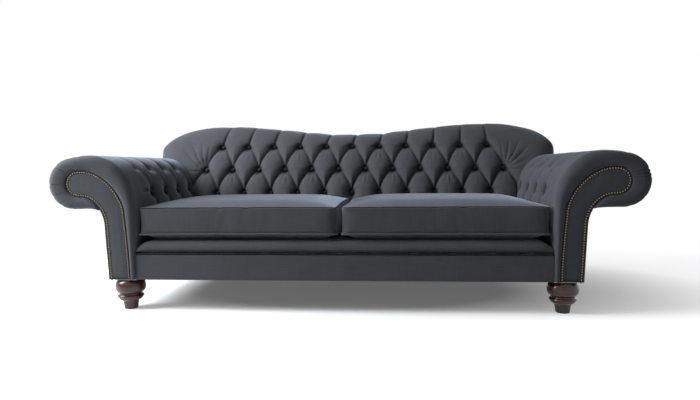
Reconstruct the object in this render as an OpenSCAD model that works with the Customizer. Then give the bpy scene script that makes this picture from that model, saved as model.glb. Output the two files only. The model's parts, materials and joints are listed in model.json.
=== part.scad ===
// Scroll-arm tufted sofa with a double-humped back, two loose seat cushions and turned front feet.
// X runs along the sofa, Y from the front to the back and Z up, with zero on the floor at its middle.

/* [Overall] */
// Width over the two arm scrolls
sofa_w = 2400; // [2320:10:2500]
// Depth from the arm fronts to the rolled top of the back
sofa_d = 1020; // [1000:5:1080]

/* [Back] */
// How far the two humps of the back rise above the arms
hump_rise = 175; // [165:1:205]
// How far the back dips between the humps
dip_drop = 50; // [30:1:58]
// Distance of each hump's top from the outside of the scroll
hump_in = 500; // [440:5:580]
// Distance of the back's end from the outside of the scroll
back_end_in = 125; // [115:1:132]
// Distance of the upper button row below the humps
row_top_drop = 123; // [115:1:130]
// Height of the lowest button row above the cushions' top seam
row_low_rise = 25; // [16:1:36]
// Distance between the buttons of a row
button_pitch = 142.8; // [138:0.2:144]
// How far the front of the back leans between the lowest and the upper row
back_lean = 115; // [95:1:125]
// Depth of the back from the foot of its front face to its rolled rear
back_depth = 320; // [300:5:345]
// How deep the buttons pull the back in
back_pit = 48; // [30:1:52]

/* [Arms] */
// Width of an arm from the seat to the outside of its scroll
arm_reach = 365; // [355:1:375]
// Height of the arms at their crest
arm_h = 641; // [630:1:646]
// Radius of the rolled scroll
scroll_r = 106; // [98:1:112]
// Radius of the scroll head of the front board and its facing
head_r = 55; // [48:1:58]
// Width of the stem of the front board at its foot
stem_w = 89; // [80:1:96]
// How deep the buttons pull the arms in
arm_pit = 30; // [16:1:32]
// Distance between the buttons of an arm's row
arm_pitch = 153; // [146:1:155]

/* [Seat] */
// Height of the cushions' belly under their border
belly_h = 21.7; // [14:0.1:26]
// Height of the cushions' boxed border
border_h = 113; // [104:1:118]
// How far the cushions crown above their top seam
crown = 32; // [18:1:40]
// Set-back of the cushions from the arm fronts
cushion_setback = 12; // [8:1:24]

/* [Frame] */
// Height of the seat rails
rail_h = 106; // [96:1:106]
// Thickness of the seat rails
rail_t = 32; // [26:1:34]
// Thickness of the arm boards
board_t = 30; // [22:1:34]

/* [Feet] */
// Height of the feet under their plates
foot_h = 127; // [115:1:127]
// Diameter of the front feet's bun
bun_d = 123; // [110:1:130]
// Diameter of the front feet where they meet the floor
toe_d = 56; // [44:1:64]
// Side of the back legs at the top
leg_w = 60; // [50:1:64]

/* [Hidden] */

// Clearance between a soft piece and what it lies on
gap = 0.3;
// Clearance where two soft pieces curve past each other
soft_gap = 0.5;
// Overrun of every cut
cut = 5;
// Thickness of stretched cover cloth over its card
cloth_t = 4;

// Levels of the seat frame
plate_t = 3;
base_h = foot_h + plate_t;
rail_top = base_h + rail_h;

// Depths, all counted from the front of the arms
front_y = -sofa_d / 2;
lip = 17;
board_y = front_y + lip;
facing_t = 6;
facing_y = board_y - gap - facing_t;
top_pad_t = 25;
frame_back_y = -front_y - top_pad_t;
rear_board_y = frame_back_y - board_t;
back_rail_y = rear_board_y - rail_t;

// Widths and heights that the sizes above give
seat_w = sofa_w - 2 * arm_reach;
seat_d = sofa_d - back_depth;
hump_h = arm_h + hump_rise;
dip_h = hump_h - dip_drop;
hump_x = sofa_w / 2 - hump_in;
back_half_w = sofa_w / 2 - back_end_in;

// Arm profile: the pad starts upright by the cushions, leans out to the crest and rolls round the scroll
arm_in = seat_w / 2;
arm_out = sofa_w / 2;
flare_h = 400;
crest_in = 190;
crest_drop = 9;
pad_power = 2.2;
join_a = 78;
crest = [arm_in + crest_in, arm_h];
scroll_c = [arm_out - scroll_r, arm_h - crest_drop - scroll_r];
join = scroll_c + scroll_r * [cos(join_a), sin(join_a)];
tail_back = 79;
tail_rise = 3;
tail = [scroll_c[0] - tail_back, scroll_c[1] - scroll_r + tail_rise];

// Front board: an upright stem that swings out into the scroll head
ring_side = 22;
ring_top = 62;
stem_lean = 18;
stem_power = 1.5;
head_shift = 28;
head_run = 18;
board_power = 1.7;
neck_h = 345;
neck_out = 11;
neck_run = 6;
stem_in = arm_in + ring_side;
head_c = [scroll_c[0] - head_shift, arm_h - ring_top - head_r];
board_top = [head_c[0] - head_run, head_c[1] + head_r];
neck = [stem_in + stem_w + neck_out, neck_h];
neck_top = [head_c[0] - neck_run, head_c[1] - head_r];

// Steps along the arm pad's curves, and finer ones along the board's
flare_steps = 8;
top_steps = 3;
roll_steps = 6;
fine = 2;
// Room that the pad's straight facets leave round the board's curves
pad_ease = 2.2;
pad_foot = 9;
pad_mid_h = 330;

// Buttons of the arms: a low row, and a high row half a pitch nearer the front
arm_row_back = 245;
arm_row_y = front_y + arm_row_back;
row_end_in = 20;
arm_columns = floor((seat_d + row_end_in - arm_row_back) / arm_pitch) + 1;
quarters = 4;
arm_low_row = 2;
arm_high_row = 4;
// How far round the arm's flare the two rows sit
arm_low_turn = 22.5;
arm_high_turn = 52;

// Share of the full dent at a button, along a pleat, beside it and on the crown between
button_share = 1;
pleat_share = 0.45;
slope_share = 0.2;
run_out_share = 0.3;
crest_share = 0.35;

// Back profile
back_face_h = 440;
back_curve_share = 0.57;
crest_back = 65;
end_power = 2.4;
back_end_drop = 1;
back_end_run = 125;
end_flat_share = 0.35;
back_foot_h = 300;
hook_rise = 19;
top_cover = 55;
rail_end_in = 65;
column_in = 40;
end_h = arm_h - back_end_drop;
end_start = back_half_w - back_end_run;
hook_h = arm_h + hook_rise;
rail_end_x = back_half_w - rail_end_in;
back_half_count = floor((arm_in - column_in) / button_pitch - 0.5);
back_columns = quarters * back_half_count + quarters - 1;
row_low = 2;
row_top = 6;
back_mid = 230;
back_mid_y = front_y + seat_d + back_mid;

// Line on which the webbing lies, from the tack rail up to the top rail
web_t = 2;
web_w = 50;
web_pitch = 150;
web_foot_back = 80;
web_head_back = 240;
web_foot_h = 300;
web_head_drop = 116;
web_overlap = 30;
web_head_h = hump_h - web_head_drop;
web_foot = [front_y + seat_d + web_foot_back, web_foot_h];
web_head = [front_y + seat_d + web_head_back, web_head_h];
tack_t = 25;
tack_h = 45;
rail_foot_rise = 14;
top_rail_foot = arm_h + rail_foot_rise;
upright_w = 32;
post_in = 35;
post_x = arm_in - post_in;

// Seat cushions and platform
cushion_gap = 2;
platform_t = 48;
platform_gap = 5;
platform_h = rail_top + platform_gap + platform_t;
cushion_floor = platform_h + gap;
border_low = cushion_floor + belly_h;
seam_h = border_low + border_h;
row_low_h = seam_h + row_low_rise;
row_top_h = hump_h - row_top_drop;
row_h = (row_top_h - row_low_h) / quarters;
cushion_w = seat_w / 2 - 2 * cushion_gap;
cushion_x = seat_w / 4;
cushion_y0 = front_y + cushion_setback;
cushion_y1 = front_y + seat_d - cushion_gap;
corner_r = 22;
draw_in = 6;
piping_out = 2;
piping_h = 7;
core_margin = 22;

// Springs
spring_t = 3.7;
spring_rod = 4;
spring_swing = 22;
spring_turns = 22;
spring_pitch = 150;
spring_in = 60;
springs = floor((arm_in - spring_in) / spring_pitch);
upright_x = 1.5 * spring_pitch;
clip_w = 24;
clip_t = 5;
clip_h = 4.6;

// Feet, plates and studs
plate_w = 90;
stud_r = 4.9;
stud_bore_r = 5;
stud_depth = 50;
foot_out = 50;
foot_x = arm_in + foot_out;
foot_in = 66;
leg_in = 70;
toe_w = 38;
leg_rake = 22;

// Nails
nail_r = 4.4;
nail_h = 2.4;
nail_pitch = 10.3;
nail_inset = 8;

// Buttons
button_r = 10;
button_dome_r = 14;
button_edge = 1;

// Point on a quarter turn that starts upright and ends level, with a power that sets its fullness
function quarter_turn(from, to, power, t) = [
    to[0] - (to[0] - from[0]) * pow(cos(t), 2 / power),
    from[1] + (to[1] - from[1]) * pow(sin(t), 2 / power)];

function mix(a, b, t) = a + (b - a) * t;
function unit(v) = v / norm(v);
function left_of(v) = [-v[1], v[0]];

// A path moved sideways to its left
function push_out(path, d) = [for (i = [0:len(path) - 1])
    let (before = path[max(i - 1, 0)], after = path[min(i + 1, len(path) - 1)])
    path[i] + d * left_of(unit(after - before))];

// A path walked in equal steps
function walk_lengths(path, i = 1, sum = 0, out = [0]) =
    i == len(path) ? out
    : let (next = sum + norm(path[i] - path[i - 1])) walk_lengths(path, i + 1, next, concat(out, next));

function equal_steps(path, pitch) =
    let (run = walk_lengths(path),
         total = run[len(run) - 1],
         count = floor(total / pitch),
         step = total / count,
         xs = [for (i = [0:len(path) - 1]) [run[i], path[i][0]]],
         zs = [for (i = [0:len(path) - 1]) [run[i], path[i][1]]])
    [for (i = [0:count - 1]) [lookup((i + 0.5) * step, xs), lookup((i + 0.5) * step, zs)]];

// Inner edge of the board's stem at a height
function stem_at(z) = stem_in + stem_lean * pow(max(z - base_h, 0) / (flare_h - base_h), stem_power);

// Outline of the front board, from its inner foot over the head to its outer foot
function board_inner(from, to, steps) = [for (i = [0:steps])
    let (z = mix(from, to, i / steps)) [stem_at(z), z]];
board_foot = board_inner(base_h, rail_top, 2);
board_stem = concat(board_foot, [for (p = board_inner(rail_top, flare_h, 4)) if (p[1] > rail_top) p]);
function board_flare(steps) = [for (i = [1:steps])
    quarter_turn([stem_at(flare_h), flare_h], board_top, board_power, i * 90 / steps)];
function board_head(steps) = [for (i = [0:steps])
    let (a = 90 - i * 180 / steps) head_c + head_r * [cos(a), sin(a)]];
function board_neck(steps) = [for (i = [0:steps]) quarter_turn(neck, neck_top, 2, 90 - i * 90 / steps)];

board_path = concat(
    board_stem,
    board_flare(flare_steps * fine),
    board_head(roll_steps * fine),
    board_neck(flare_steps),
    [[stem_in + stem_w, base_h]]);

// Turn of the arm pad's i-th flare point, which puts the two rows of buttons on points of their own
function flare_turn(i) =
    i <= arm_low_row ? arm_low_turn * i / arm_low_row
    : i <= arm_high_row
        ? mix(arm_low_turn, arm_high_turn, (i - arm_low_row) / (arm_high_row - arm_low_row))
    : mix(arm_high_turn, 90, (i - arm_high_row) / (flare_steps - arm_high_row));

// Outer and inner curves of the arm pad, point for point
function pad_outer(foot) = concat(
    [[arm_in, foot], [arm_in, pad_mid_h]],
    [for (i = [0:flare_steps]) quarter_turn([arm_in, flare_h], crest, pad_power, flare_turn(i))],
    [for (i = [1:top_steps]) let (t = i / top_steps)
        [mix(crest[0], join[0], t), mix(crest[1], join[1], t * t)]],
    [for (i = [1:roll_steps]) let (a = mix(join_a, -90, i / roll_steps))
        scroll_c + scroll_r * [cos(a), sin(a)]],
    [mix([scroll_c[0], scroll_c[1] - scroll_r], tail, 0.5), tail]);

function pad_inner(foot) = push_out(concat(
    [[stem_at(foot), foot], [stem_at(pad_mid_h), pad_mid_h]],
    [for (i = [0:flare_steps])
        quarter_turn([stem_at(flare_h), flare_h], board_top, board_power, flare_turn(i))],
    [for (i = [1:top_steps]) mix(board_top, [head_c[0], board_top[1]], i / top_steps)],
    [for (i = [1:roll_steps]) let (a = 90 - i * 180 / roll_steps) head_c + head_r * [cos(a), sin(a)]],
    [quarter_turn(neck, neck_top, 2, 78), quarter_turn(neck, neck_top, 2, 64)]), pad_ease);

// Steps away from the nearest pleat, 0 on it and 2 on the crown between two
function off_pleat(i) = let (r = ((i % quarters) + quarters) % quarters) min(r, quarters - r);

// Share of the dent at column m and row q of a diamond pattern with a button at 0, 0
function diamond_share(m, q) =
    let (a = off_pleat(m - q), b = off_pleat(m + q))
    a == 0 && b == 0 ? button_share : a + b == 2 && a != b ? pleat_share : a == 1 ? slope_share : 0;

// Share of a straight pleat that runs up from column m
function pleat_at(m) = off_pleat(m) == 0 ? 1 : off_pleat(m) == 1 ? 0.25 : 0;

// True where a cell's falling diagonal lies along a pleat
function falls(m, q) = off_pleat(m + q + 1) == 0;

// A solid lofted through rings of equal count, closed at both ends by pairing its outer and inner points.
// The faces are turned over when the rings follow each other the other way.
module loft(rings, outer_count, partner, falling, turned = false) {
    count = len(rings[0]);
    rows = len(rings);
    points = [for (r = rings) each r];
    walls = [for (k = [0:rows - 2], j = [0:count - 1])
        let (a = k * count + j, b = k * count + (j + 1) % count, c = a + count, d = b + count)
        each (falling(k, j) ? [[a, b, c], [b, d, c]] : [[a, b, d], [a, d, c]])];
    start = [for (i = [0:outer_count - 2])
        let (p = count - 1 - partner(i), q = count - 1 - partner(i + 1))
        each (p == q ? [[i, p, i + 1]] : [[i, p, i + 1], [i + 1, p, q]])];
    last = (rows - 1) * count;
    end = [for (f = start) [last + f[2], last + f[1], last + f[0]]];
    faces = concat(walls, start, end);
    polyhedron(points, turned ? [for (f = faces) [f[2], f[1], f[0]]] : faces);
}

// Copies a right-hand piece to the chosen side
module on_side(side) {
    if (side < 0)
        mirror([1, 0, 0]) children();
    else
        children();
}

// Extrudes an outline drawn in X and Z from one depth to another
module slab(y0, y1) {
    translate([0, y1, 0])
        rotate([90, 0, 0])
            linear_extrude(y1 - y0) children();
}

// Extrudes an outline drawn in Y and Z from one X to another
module plank(x0, x1) {
    translate([x0, 0, 0])
        rotate([90, 0, 90])
            linear_extrude(x1 - x0) children();
}

module block(x0, x1, y0, y1, z0, z1) {
    translate([x0, y0, z0]) cube([x1 - x0, y1 - y0, z1 - z0]);
}

// Frame

module front_rail() {
    color("burlywood")
        slab(board_y, board_y + rail_t)
            polygon(concat(
                board_foot,
                [for (i = [len(board_foot) - 1:-1:0]) [-board_foot[i][0], board_foot[i][1]]]));
}

module back_rail() {
    half = stem_in + stem_w;
    color("burlywood") block(-half, half, back_rail_y, rear_board_y, base_h, rail_top);
}

side_rail_in = 45;
side_rail_x = arm_in + side_rail_in;

module side_rail(side) {
    color("burlywood")
        on_side(side)
            block(side_rail_x, side_rail_x + rail_t, board_y + board_t, back_rail_y, base_h, rail_top);
}

module centre_stretcher() {
    stretcher_drop = 36;
    color("burlywood")
        block(-rail_t / 2, rail_t / 2, board_y + rail_t, back_rail_y, base_h, rail_top - stretcher_drop);
}

module corner_blocks() {
    leg = 70;
    inset_z = 20;
    color("tan")
        for (side = [-1, 1])
            on_side(side)
                for (end = [[board_y + max(rail_t, board_t), 1], [back_rail_y, -1]])
                    translate([side_rail_x, end[0], base_h + inset_z])
                        linear_extrude(rail_h - 2 * inset_z)
                            polygon([[0, 0], [-leg, 0], [0, end[1] * leg]]);
}

module arm_board(side) {
    color("burlywood") on_side(side) slab(board_y, board_y + board_t) polygon(board_path);
}

module rear_arm_board(side) {
    color("burlywood") on_side(side) slab(rear_board_y, frame_back_y) polygon(board_path);
}

// The rail inside the scroll, rounded where the pad rolls round it
module arm_top_rail(side) {
    top_rail_share = 0.72;
    flat = head_r * top_rail_share;
    color("burlywood")
        on_side(side)
            slab(board_y + board_t, rear_board_y)
                intersection() {
                    translate(head_c) circle(r = flat, $fn = 48);
                    translate([head_c[0] - flat, head_c[1] - flat]) square([2 * flat, flat * 1.6]);
                }
}

module arm_tack_rail(side) {
    tack_foot = 290;
    tack_d = 24;
    tack_gap = 1;
    x0 = stem_at(tack_foot + tack_h) + tack_gap;
    color("burlywood")
        on_side(side)
            block(x0, x0 + tack_d, board_y + board_t, rear_board_y, tack_foot, tack_foot + tack_h);
}

// Depth of the webbing's line at a height
function web_y(z) = mix(web_foot[0], web_head[0], (z - web_foot[1]) / (web_head[1] - web_foot[1]));

module upright_profile() {
    shoulder = web_foot[1] + tack_h;
    polygon([
        [web_y(web_foot[1]) + tack_t, rail_top],
        [frame_back_y, rail_top],
        [frame_back_y, top_rail_foot],
        [web_y(top_rail_foot) + tack_t, top_rail_foot],
        [web_y(shoulder) + tack_t, shoulder],
        [web_y(web_foot[1]) + tack_t, web_foot[1]]]);
}

module back_posts() {
    color("burlywood")
        for (side = [-1, 1])
            on_side(side) plank(post_x - upright_w / 2, post_x + upright_w / 2) upright_profile();
}

module back_uprights() {
    color("burlywood")
        for (side = [-1, 1])
            on_side(side) plank(upright_x - upright_w / 2, upright_x + upright_w / 2) upright_profile();
}

// Height of the back's upholstered top edge along the sofa
function back_top(x) =
    let (u = (abs(x) - hump_x) / (back_half_w - hump_x))
    abs(x) <= hump_x ? mix(dip_h, hump_h, (1 - cos(180 * abs(x) / hump_x)) / 2)
    : mix(end_h, hump_h, pow(max(1 - pow(u, end_power), 0), 1 / end_power));

module back_top_rail() {
    color("burlywood")
        intersection() {
            slab(0, frame_back_y)
                polygon(concat(
                    [for (i = [rail_last:-1:1]) [-rail_xs[i], back_top(rail_xs[i]) - top_cover]],
                    [for (x = rail_xs) [x, back_top(x) - top_cover]],
                    [[rail_xs[rail_last], top_rail_foot], [-rail_xs[rail_last], top_rail_foot]]));
            plank(-rail_end_x - cut, rail_end_x + cut)
                polygon([
                    [web_y(top_rail_foot - cut), top_rail_foot - cut],
                    [frame_back_y + cut, top_rail_foot - cut],
                    [frame_back_y + cut, hump_h],
                    [web_y(hump_h), hump_h]]);
        }
}

module back_tack_rail() {
    half = post_x + upright_w / 2;
    color("burlywood")
        plank(-half, half)
            polygon([
                [web_y(web_foot[1]), web_foot[1]],
                [web_y(web_foot[1]) + tack_t, web_foot[1]],
                [web_y(web_foot[1] + tack_h) + tack_t, web_foot[1] + tack_h],
                [web_y(web_foot[1] + tack_h), web_foot[1] + tack_h]]);
}

module back_webbing() {
    web_top = top_rail_foot + web_overlap;
    color("wheat")
        for (i = [-springs:springs])
            plank(i * web_pitch - web_w / 2, i * web_pitch + web_w / 2)
                polygon([
                    [web_y(web_foot[1]) - gap - web_t, web_foot[1]],
                    [web_y(web_foot[1]) - gap, web_foot[1]],
                    [web_y(web_top) - gap, web_top],
                    [web_y(web_top) - gap - web_t, web_top]]);
}

// Springs

spring_y0 = board_y + clip_t + cut;
spring_y1 = rear_board_y - clip_t - cut;

// One zigzag spring, seen from above
module spring_outline() {
    run = spring_y1 - spring_y0;
    mids = [for (i = [0:spring_turns])
        [(i % 2 == 0 ? -1 : 1) * (i == 0 || i == spring_turns ? spring_rod : spring_swing),
         spring_y0 + spring_rod / 2 + (run - spring_rod) * i / spring_turns]];
    half = [spring_rod / 2, 0];
    polygon(concat([for (p = mids) p + half], [for (i = [spring_turns:-1:0]) mids[i] - half]));
}

module seat_springs() {
    color("dimgray")
        for (i = [-springs:springs])
            translate([i * spring_pitch, 0, rail_top + gap]) linear_extrude(spring_t) spring_outline();
}

module spring_clips() {
    color("silver")
        for (i = [-springs:springs], y = [spring_y0 - gap - clip_t, spring_y1 + gap])
            translate([i * spring_pitch - clip_w / 2, y, rail_top]) cube([clip_w, clip_t, clip_h]);
}

// Feet

function arc(c, r, a0, a1, steps) = [for (i = [0:steps])
    let (a = mix(a0, a1, i / steps)) [c[0] + r[0] * cos(a), c[1] + r[1] * sin(a)]];

// Turned profile from the floor up: taper, cove, bead, neck and bun
function foot_profile() =
    let (bun_r = bun_d / 2,
         toe_r = toe_d / 2,
         taper_h = foot_h * 0.27,
         taper_r = mix(toe_r, bun_r, 0.21),
         bead_c = foot_h * 0.43,
         bead_h = foot_h * 0.06,
         bead_r = bun_r * 0.82,
         neck_r = bun_r * 0.76,
         neck_z = foot_h * 0.52,
         bun_c = foot_h * 0.75,
         toe_round = 3)
    concat(
        [[0, 0], [toe_r - toe_round, 0], [toe_r, toe_round], [taper_r, taper_h]],
        arc([taper_r, bead_c - bead_h],
            [bead_r - taper_r - bead_h / 2, bead_c - bead_h - taper_h], -80, 0, 5),
        arc([bead_r - bead_h, bead_c], [bead_h, bead_h], -60, 90, 6),
        [[neck_r, bead_c + bead_h], [neck_r, neck_z]],
        arc([bun_r * 0.55, bun_c], [bun_r * 0.45, foot_h - bun_c], -72, 90, 12),
        [[0, foot_h]]);

module front_foot(side) {
    color("saddlebrown")
        on_side(side)
            translate([foot_x, front_y + foot_in, 0])
                difference() {
                    rotate_extrude($fn = 64) polygon(foot_profile());
                    translate([0, 0, foot_h - stud_depth])
                        cylinder(r = stud_bore_r, h = stud_depth + cut, $fn = 24);
                }
}

module rear_leg(side) {
    slice = 1;
    color("saddlebrown")
        on_side(side)
            translate([foot_x, -front_y - leg_in, 0])
                difference() {
                    hull() {
                        translate([-leg_w / 2, -leg_w / 2, foot_h - slice]) cube([leg_w, leg_w, slice]);
                        translate([-toe_w / 2, leg_rake - toe_w / 2, 0]) cube([toe_w, toe_w, slice]);
                    }
                    translate([0, 0, foot_h - stud_depth])
                        cylinder(r = stud_bore_r, h = stud_depth + cut, $fn = 24);
                }
}

foot_places = [for (side = [-1, 1], y = [front_y + foot_in, -front_y - leg_in]) [side * foot_x, y]];

module foot_plates() {
    color("silver")
        for (p = foot_places)
            translate([p[0], p[1], foot_h])
                difference() {
                    translate([-plate_w / 2, -plate_w / 2, 0]) cube([plate_w, plate_w, plate_t]);
                    translate([0, 0, -cut]) cylinder(r = stud_bore_r, h = plate_t + 2 * cut, $fn = 24);
                }
}

module foot_studs() {
    stud_end = 6;
    color("gray")
        for (p = foot_places)
            translate([p[0], p[1], foot_h - stud_depth + stud_end])
                cylinder(r = stud_r, h = stud_depth - stud_end + plate_t, $fn = 24);
}

module dust_cloth() {
    dust_t = 1;
    half = side_rail_x + rail_t / 2;
    notch_x = foot_x - plate_w / 2 - cut;
    y0 = board_y + rail_t / 2;
    y1 = rear_board_y - rail_t / 2;
    notch_y0 = front_y + foot_in + plate_w / 2 + cut;
    notch_y1 = -front_y - leg_in - plate_w / 2 - cut;
    color("black")
        translate([0, 0, base_h - dust_t])
            linear_extrude(dust_t)
                polygon([
                    [-notch_x, y0], [notch_x, y0], [notch_x, notch_y0], [half, notch_y0],
                    [half, notch_y1], [notch_x, notch_y1], [notch_x, y1], [-notch_x, y1],
                    [-notch_x, notch_y1], [-half, notch_y1], [-half, notch_y0], [-notch_x, notch_y0]]);
}

// Upholstery

// Deck of the seat: a pad on the springs whose front lip rolls over the front rail
module seat_platform() {
    foot = rail_top + platform_gap;
    lip_d = 34;
    end_run = 56;
    end_drop = 26;
    end_pull = 6;
    end_share = 0.35;
    lip_share = 0.58;
    foot_tuck = 7;
    setback = 8;
    half = arm_in - gap;
    front = front_y + setback;
    back = web_foot[0] - gap;
    near = half - end_run * end_share;
    xs = [-half, -near, -half + end_run, 0, half - end_run, near, half];
    drop_shares = [1, end_share, 0, 0, 0, end_share, 1];
    rings = [for (i = [0:len(xs) - 1])
        let (share = drop_shares[i],
             top = platform_h - end_drop * share,
             y = front + end_pull * share,
             h = top - foot)
        [for (p = concat(
            [[y + foot_tuck, foot]],
            [for (a = [180:-22.5:90])
                [y + lip_d + lip_d * cos(a), foot + h * (1 - lip_share + lip_share * sin(a))]],
            [[back, top], [back, foot]])) [xs[i], p[0], p[1]]]];
    color("dimgray") loft(rings, 7, function(i) 0, function(k, j) false);
}

module front_apron() {
    seam = 3.5;
    color("slategray")
        block(-arm_in + gap, arm_in - gap, facing_y, board_y - gap, base_h, rail_top - seam);
}

module apron_piping() {
    piping_r = 3;
    color("slategray")
        translate([-arm_in + gap, board_y - gap - piping_r, rail_top + gap])
            rotate([0, 90, 0]) cylinder(r = piping_r, h = seat_w - 2 * gap, $fn = 16);
}

// Depths at which the arm pad is drawn, with how far its lip rounds in there
arm_quarter = arm_pitch / quarters;
arm_first = -2;
arm_last = quarters * (arm_columns - 1) + 1;
tuft_ys = [for (m = [arm_first:arm_last]) arm_row_y + m * arm_quarter];
pad_stations = concat(
    [[front_y, 0.42, 0.3], [front_y + lip * 0.24, 0.2, 0.12], [front_y + lip * 0.6, 0.07, 0],
     [board_y - 2 * gap, 0.03, 0], [board_y - gap, 0.03, 0], [board_y + board_t, 0, 0],
     [mix(board_y + board_t, tuft_ys[0], 0.5), 0, 0]],
    [for (y = tuft_ys) [y, 0, 0]],
    [[rear_board_y, 0, 0], [frame_back_y, 0.16, 0]]);
tuft_start = 7;
lip_foot = 1;

// Dent of the arm pad at its i-th flare point, over column m
function arm_dent(i, m) =
    m > arm_last ? 0
    : i == arm_low_row - 1 ? arm_pit * run_out_share * pleat_at(m)
    : i >= arm_low_row && i <= arm_high_row ? arm_pit * diamond_share(m, i - arm_low_row)
    : i > arm_high_row && i < flare_steps + top_steps
        ? arm_pit * crest_share * pleat_at(m - 2) * (1 - (i - arm_high_row) / (flare_steps + top_steps))
    : 0;

function arm_pad_ring(k) =
    let (s = pad_stations[k],
         foot = s[0] < board_y - 1.5 * gap ? base_h + lip_foot : rail_top + pad_foot,
         outer = pad_outer(foot),
         inner = pad_inner(foot),
         m = k - tuft_start + arm_first,
         out = [for (i = [0:len(outer) - 1])
             let (dent = k < tuft_start ? 0 : arm_dent(i - 2, m))
             mix(outer[i], inner[i], s[1]) + dent * unit(inner[i] - outer[i])],
         in = [for (i = [len(outer) - 1:-1:0]) mix(inner[i], outer[i], s[2])])
    [for (p = concat(out, in)) [p[0], s[0], p[1]]];

module arm_pad(side) {
    rings = [for (k = [0:len(pad_stations) - 1]) arm_pad_ring(k)];
    color("slategray")
        on_side(side)
            loft(rings, len(rings[0]) / 2, function(i) i,
                function(k, j) falls(k - tuft_start + arm_first, j - 2 - arm_low_row), true);
}

// Front face of the back at a height, before its buttons pull it in
function back_face(z) =
    let (t = max(z - back_face_h, 0) / (row_top_h - back_face_h))
    front_y + seat_d + back_lean * ((1 - back_curve_share) * t + back_curve_share * t * t);

function bend(a, b, c, t) = (1 - t) * (1 - t) * a + 2 * t * (1 - t) * b + t * t * c;

// The arm pad's crest as the back rests on it, from beside the cushions to the end of the back
arm_crest = [for (i = [2:2 + flare_steps + top_steps]) pad_outer(rail_top)[i]];
arm_crest_out = push_out(arm_crest, soft_gap);

// Rounding of the back's ends and of its underside
end_inset = 7;
end_rise = 1;
end_shares = [0.4, 0.7];
hook_drop = 20;
cap_rise = 8;
cap_drop = 12;

// X and lowest height of each section of the back, from the middle to one end
back_stations = concat(
    [for (m = [0:back_columns]) [m * button_pitch / quarters, back_foot_h, m]],
    [[arm_in - 2 * soft_gap, back_foot_h, -1], [arm_in - soft_gap, flare_h, -1]],
    [for (i = [1:flare_steps]) [arm_crest_out[i][0], arm_crest_out[i][1], -1]],
    [for (x = concat([for (share = end_shares) mix(crest[0], back_half_w, share)], back_half_w - end_inset))
        [x, lookup(x, arm_crest) + end_rise, -1]]);

// Stations that the top rail reaches
rail_xs = [for (s = back_stations) if (s[0] <= rail_end_x) s[0]];
rail_last = len(rail_xs) - 1;

// How far a section of the back is rounded in at its end
function end_share(x) =
    let (u = max(abs(x) - end_start, 0) / (back_half_w - end_start))
    mix(end_flat_share, 1, sqrt(max(1 - u * u, 0)));

function back_dent(j, m) =
    m < 0 || m > back_columns ? 0
    : j < row_low ? back_pit * run_out_share * pleat_at(m)
    : j <= row_top ? back_pit * diamond_share(m, j - row_low)
    : j < 12 && m < back_columns - 1 ? back_pit * crest_share * pleat_at(m)
    : 0;

function back_ring(s, side) =
    let (x = s[0],
         foot = s[1],
         top = back_top(x),
         e = end_share(x),
         levels = concat(
             [foot],
             [for (j = [1:row_top]) max(row_low_h + (j - row_low) * row_h, foot + j * end_rise)]),
         turn_z = levels[row_top],
         turn_y = back_face(turn_z),
         crest_y = -front_y - crest_back,
         rear_y = -front_y,
         hook = min(hook_h, top - hook_drop),
         lift = top - turn_z,
         face = concat(
             [for (z = levels) [back_face(z), z]],
             [for (t = [0.35, 0.7, 1])
                 [bend(turn_y, turn_y + 0.7 * lift, crest_y, t), bend(turn_z, top, top, t)]],
             [for (t = [0.35, 0.7, 1])
                 [bend(crest_y, rear_y, rear_y, t), bend(top, top, hook, t)]]),
         outer = [for (j = [0:len(face) - 1])
             let (lean = j > row_top + 2 ? -0.4 : 1)
             [back_mid_y + (face[j][0] - back_mid_y) * e + lean * back_dent(j, s[2]), face[j][1]]],
         rail = x <= rail_end_x ? top - top_cover + gap : foot + cap_rise,
         cap_z = min(max(rail, foot + cap_rise), top - cap_drop),
         inner = [
             [frame_back_y + gap, hook],
             [frame_back_y + gap, cap_z],
             [web_y(cap_z) - web_t - 2 * gap, cap_z],
             [web_y(foot) - web_t - 2 * gap, foot]])
    [for (p = concat(outer, inner)) [side * x, p[0], p[1]]];

back_partners = [0, 0, 0, 0, 0, 1, 1, 1, 1, 2, 2, 3, 3];

module back_pad() {
    last = len(back_stations) - 1;
    rings = concat(
        [for (i = [last:-1:1]) back_ring(back_stations[i], -1)],
        [for (i = [0:last]) back_ring(back_stations[i], 1)]);
    color("slategray")
        loft(rings, len(back_partners), function(i) back_partners[i],
            function(k, j) falls(k - last, j - row_low));
}

// A covered button: a low dome with a straight edge, its axis along Z
module button() {
    sink = sqrt(button_dome_r * button_dome_r - button_r * button_r) - button_edge;
    intersection() {
        translate([0, 0, -sink]) sphere(r = button_dome_r, $fn = 32);
        cylinder(r = button_r, h = button_dome_r, $fn = 32);
    }
}

// Places a button at a pit of the back, square to the face's lean
module back_button(x, z, lean, lift) {
    translate([x, back_face(z) + back_pit, z])
        rotate([90 - lean, 0, 0])
            translate([0, 0, lift]) button();
}

module back_buttons() {
    leans = [12, 27, 34];
    lifts = [for (share = [0.227, 0.2, 0.196]) share * back_pit];
    rows = [row_low_h, (row_low_h + row_top_h) / 2, row_top_h];
    color("slategray")
        for (r = [0:2], i = [0:back_half_count], side = [-1, 1])
            if (r == 1 || i > 0 || side > 0)
                back_button(side * (i + (r == 1 ? 0.5 : 0)) * button_pitch, rows[r], leans[r], lifts[r]);
}

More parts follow.
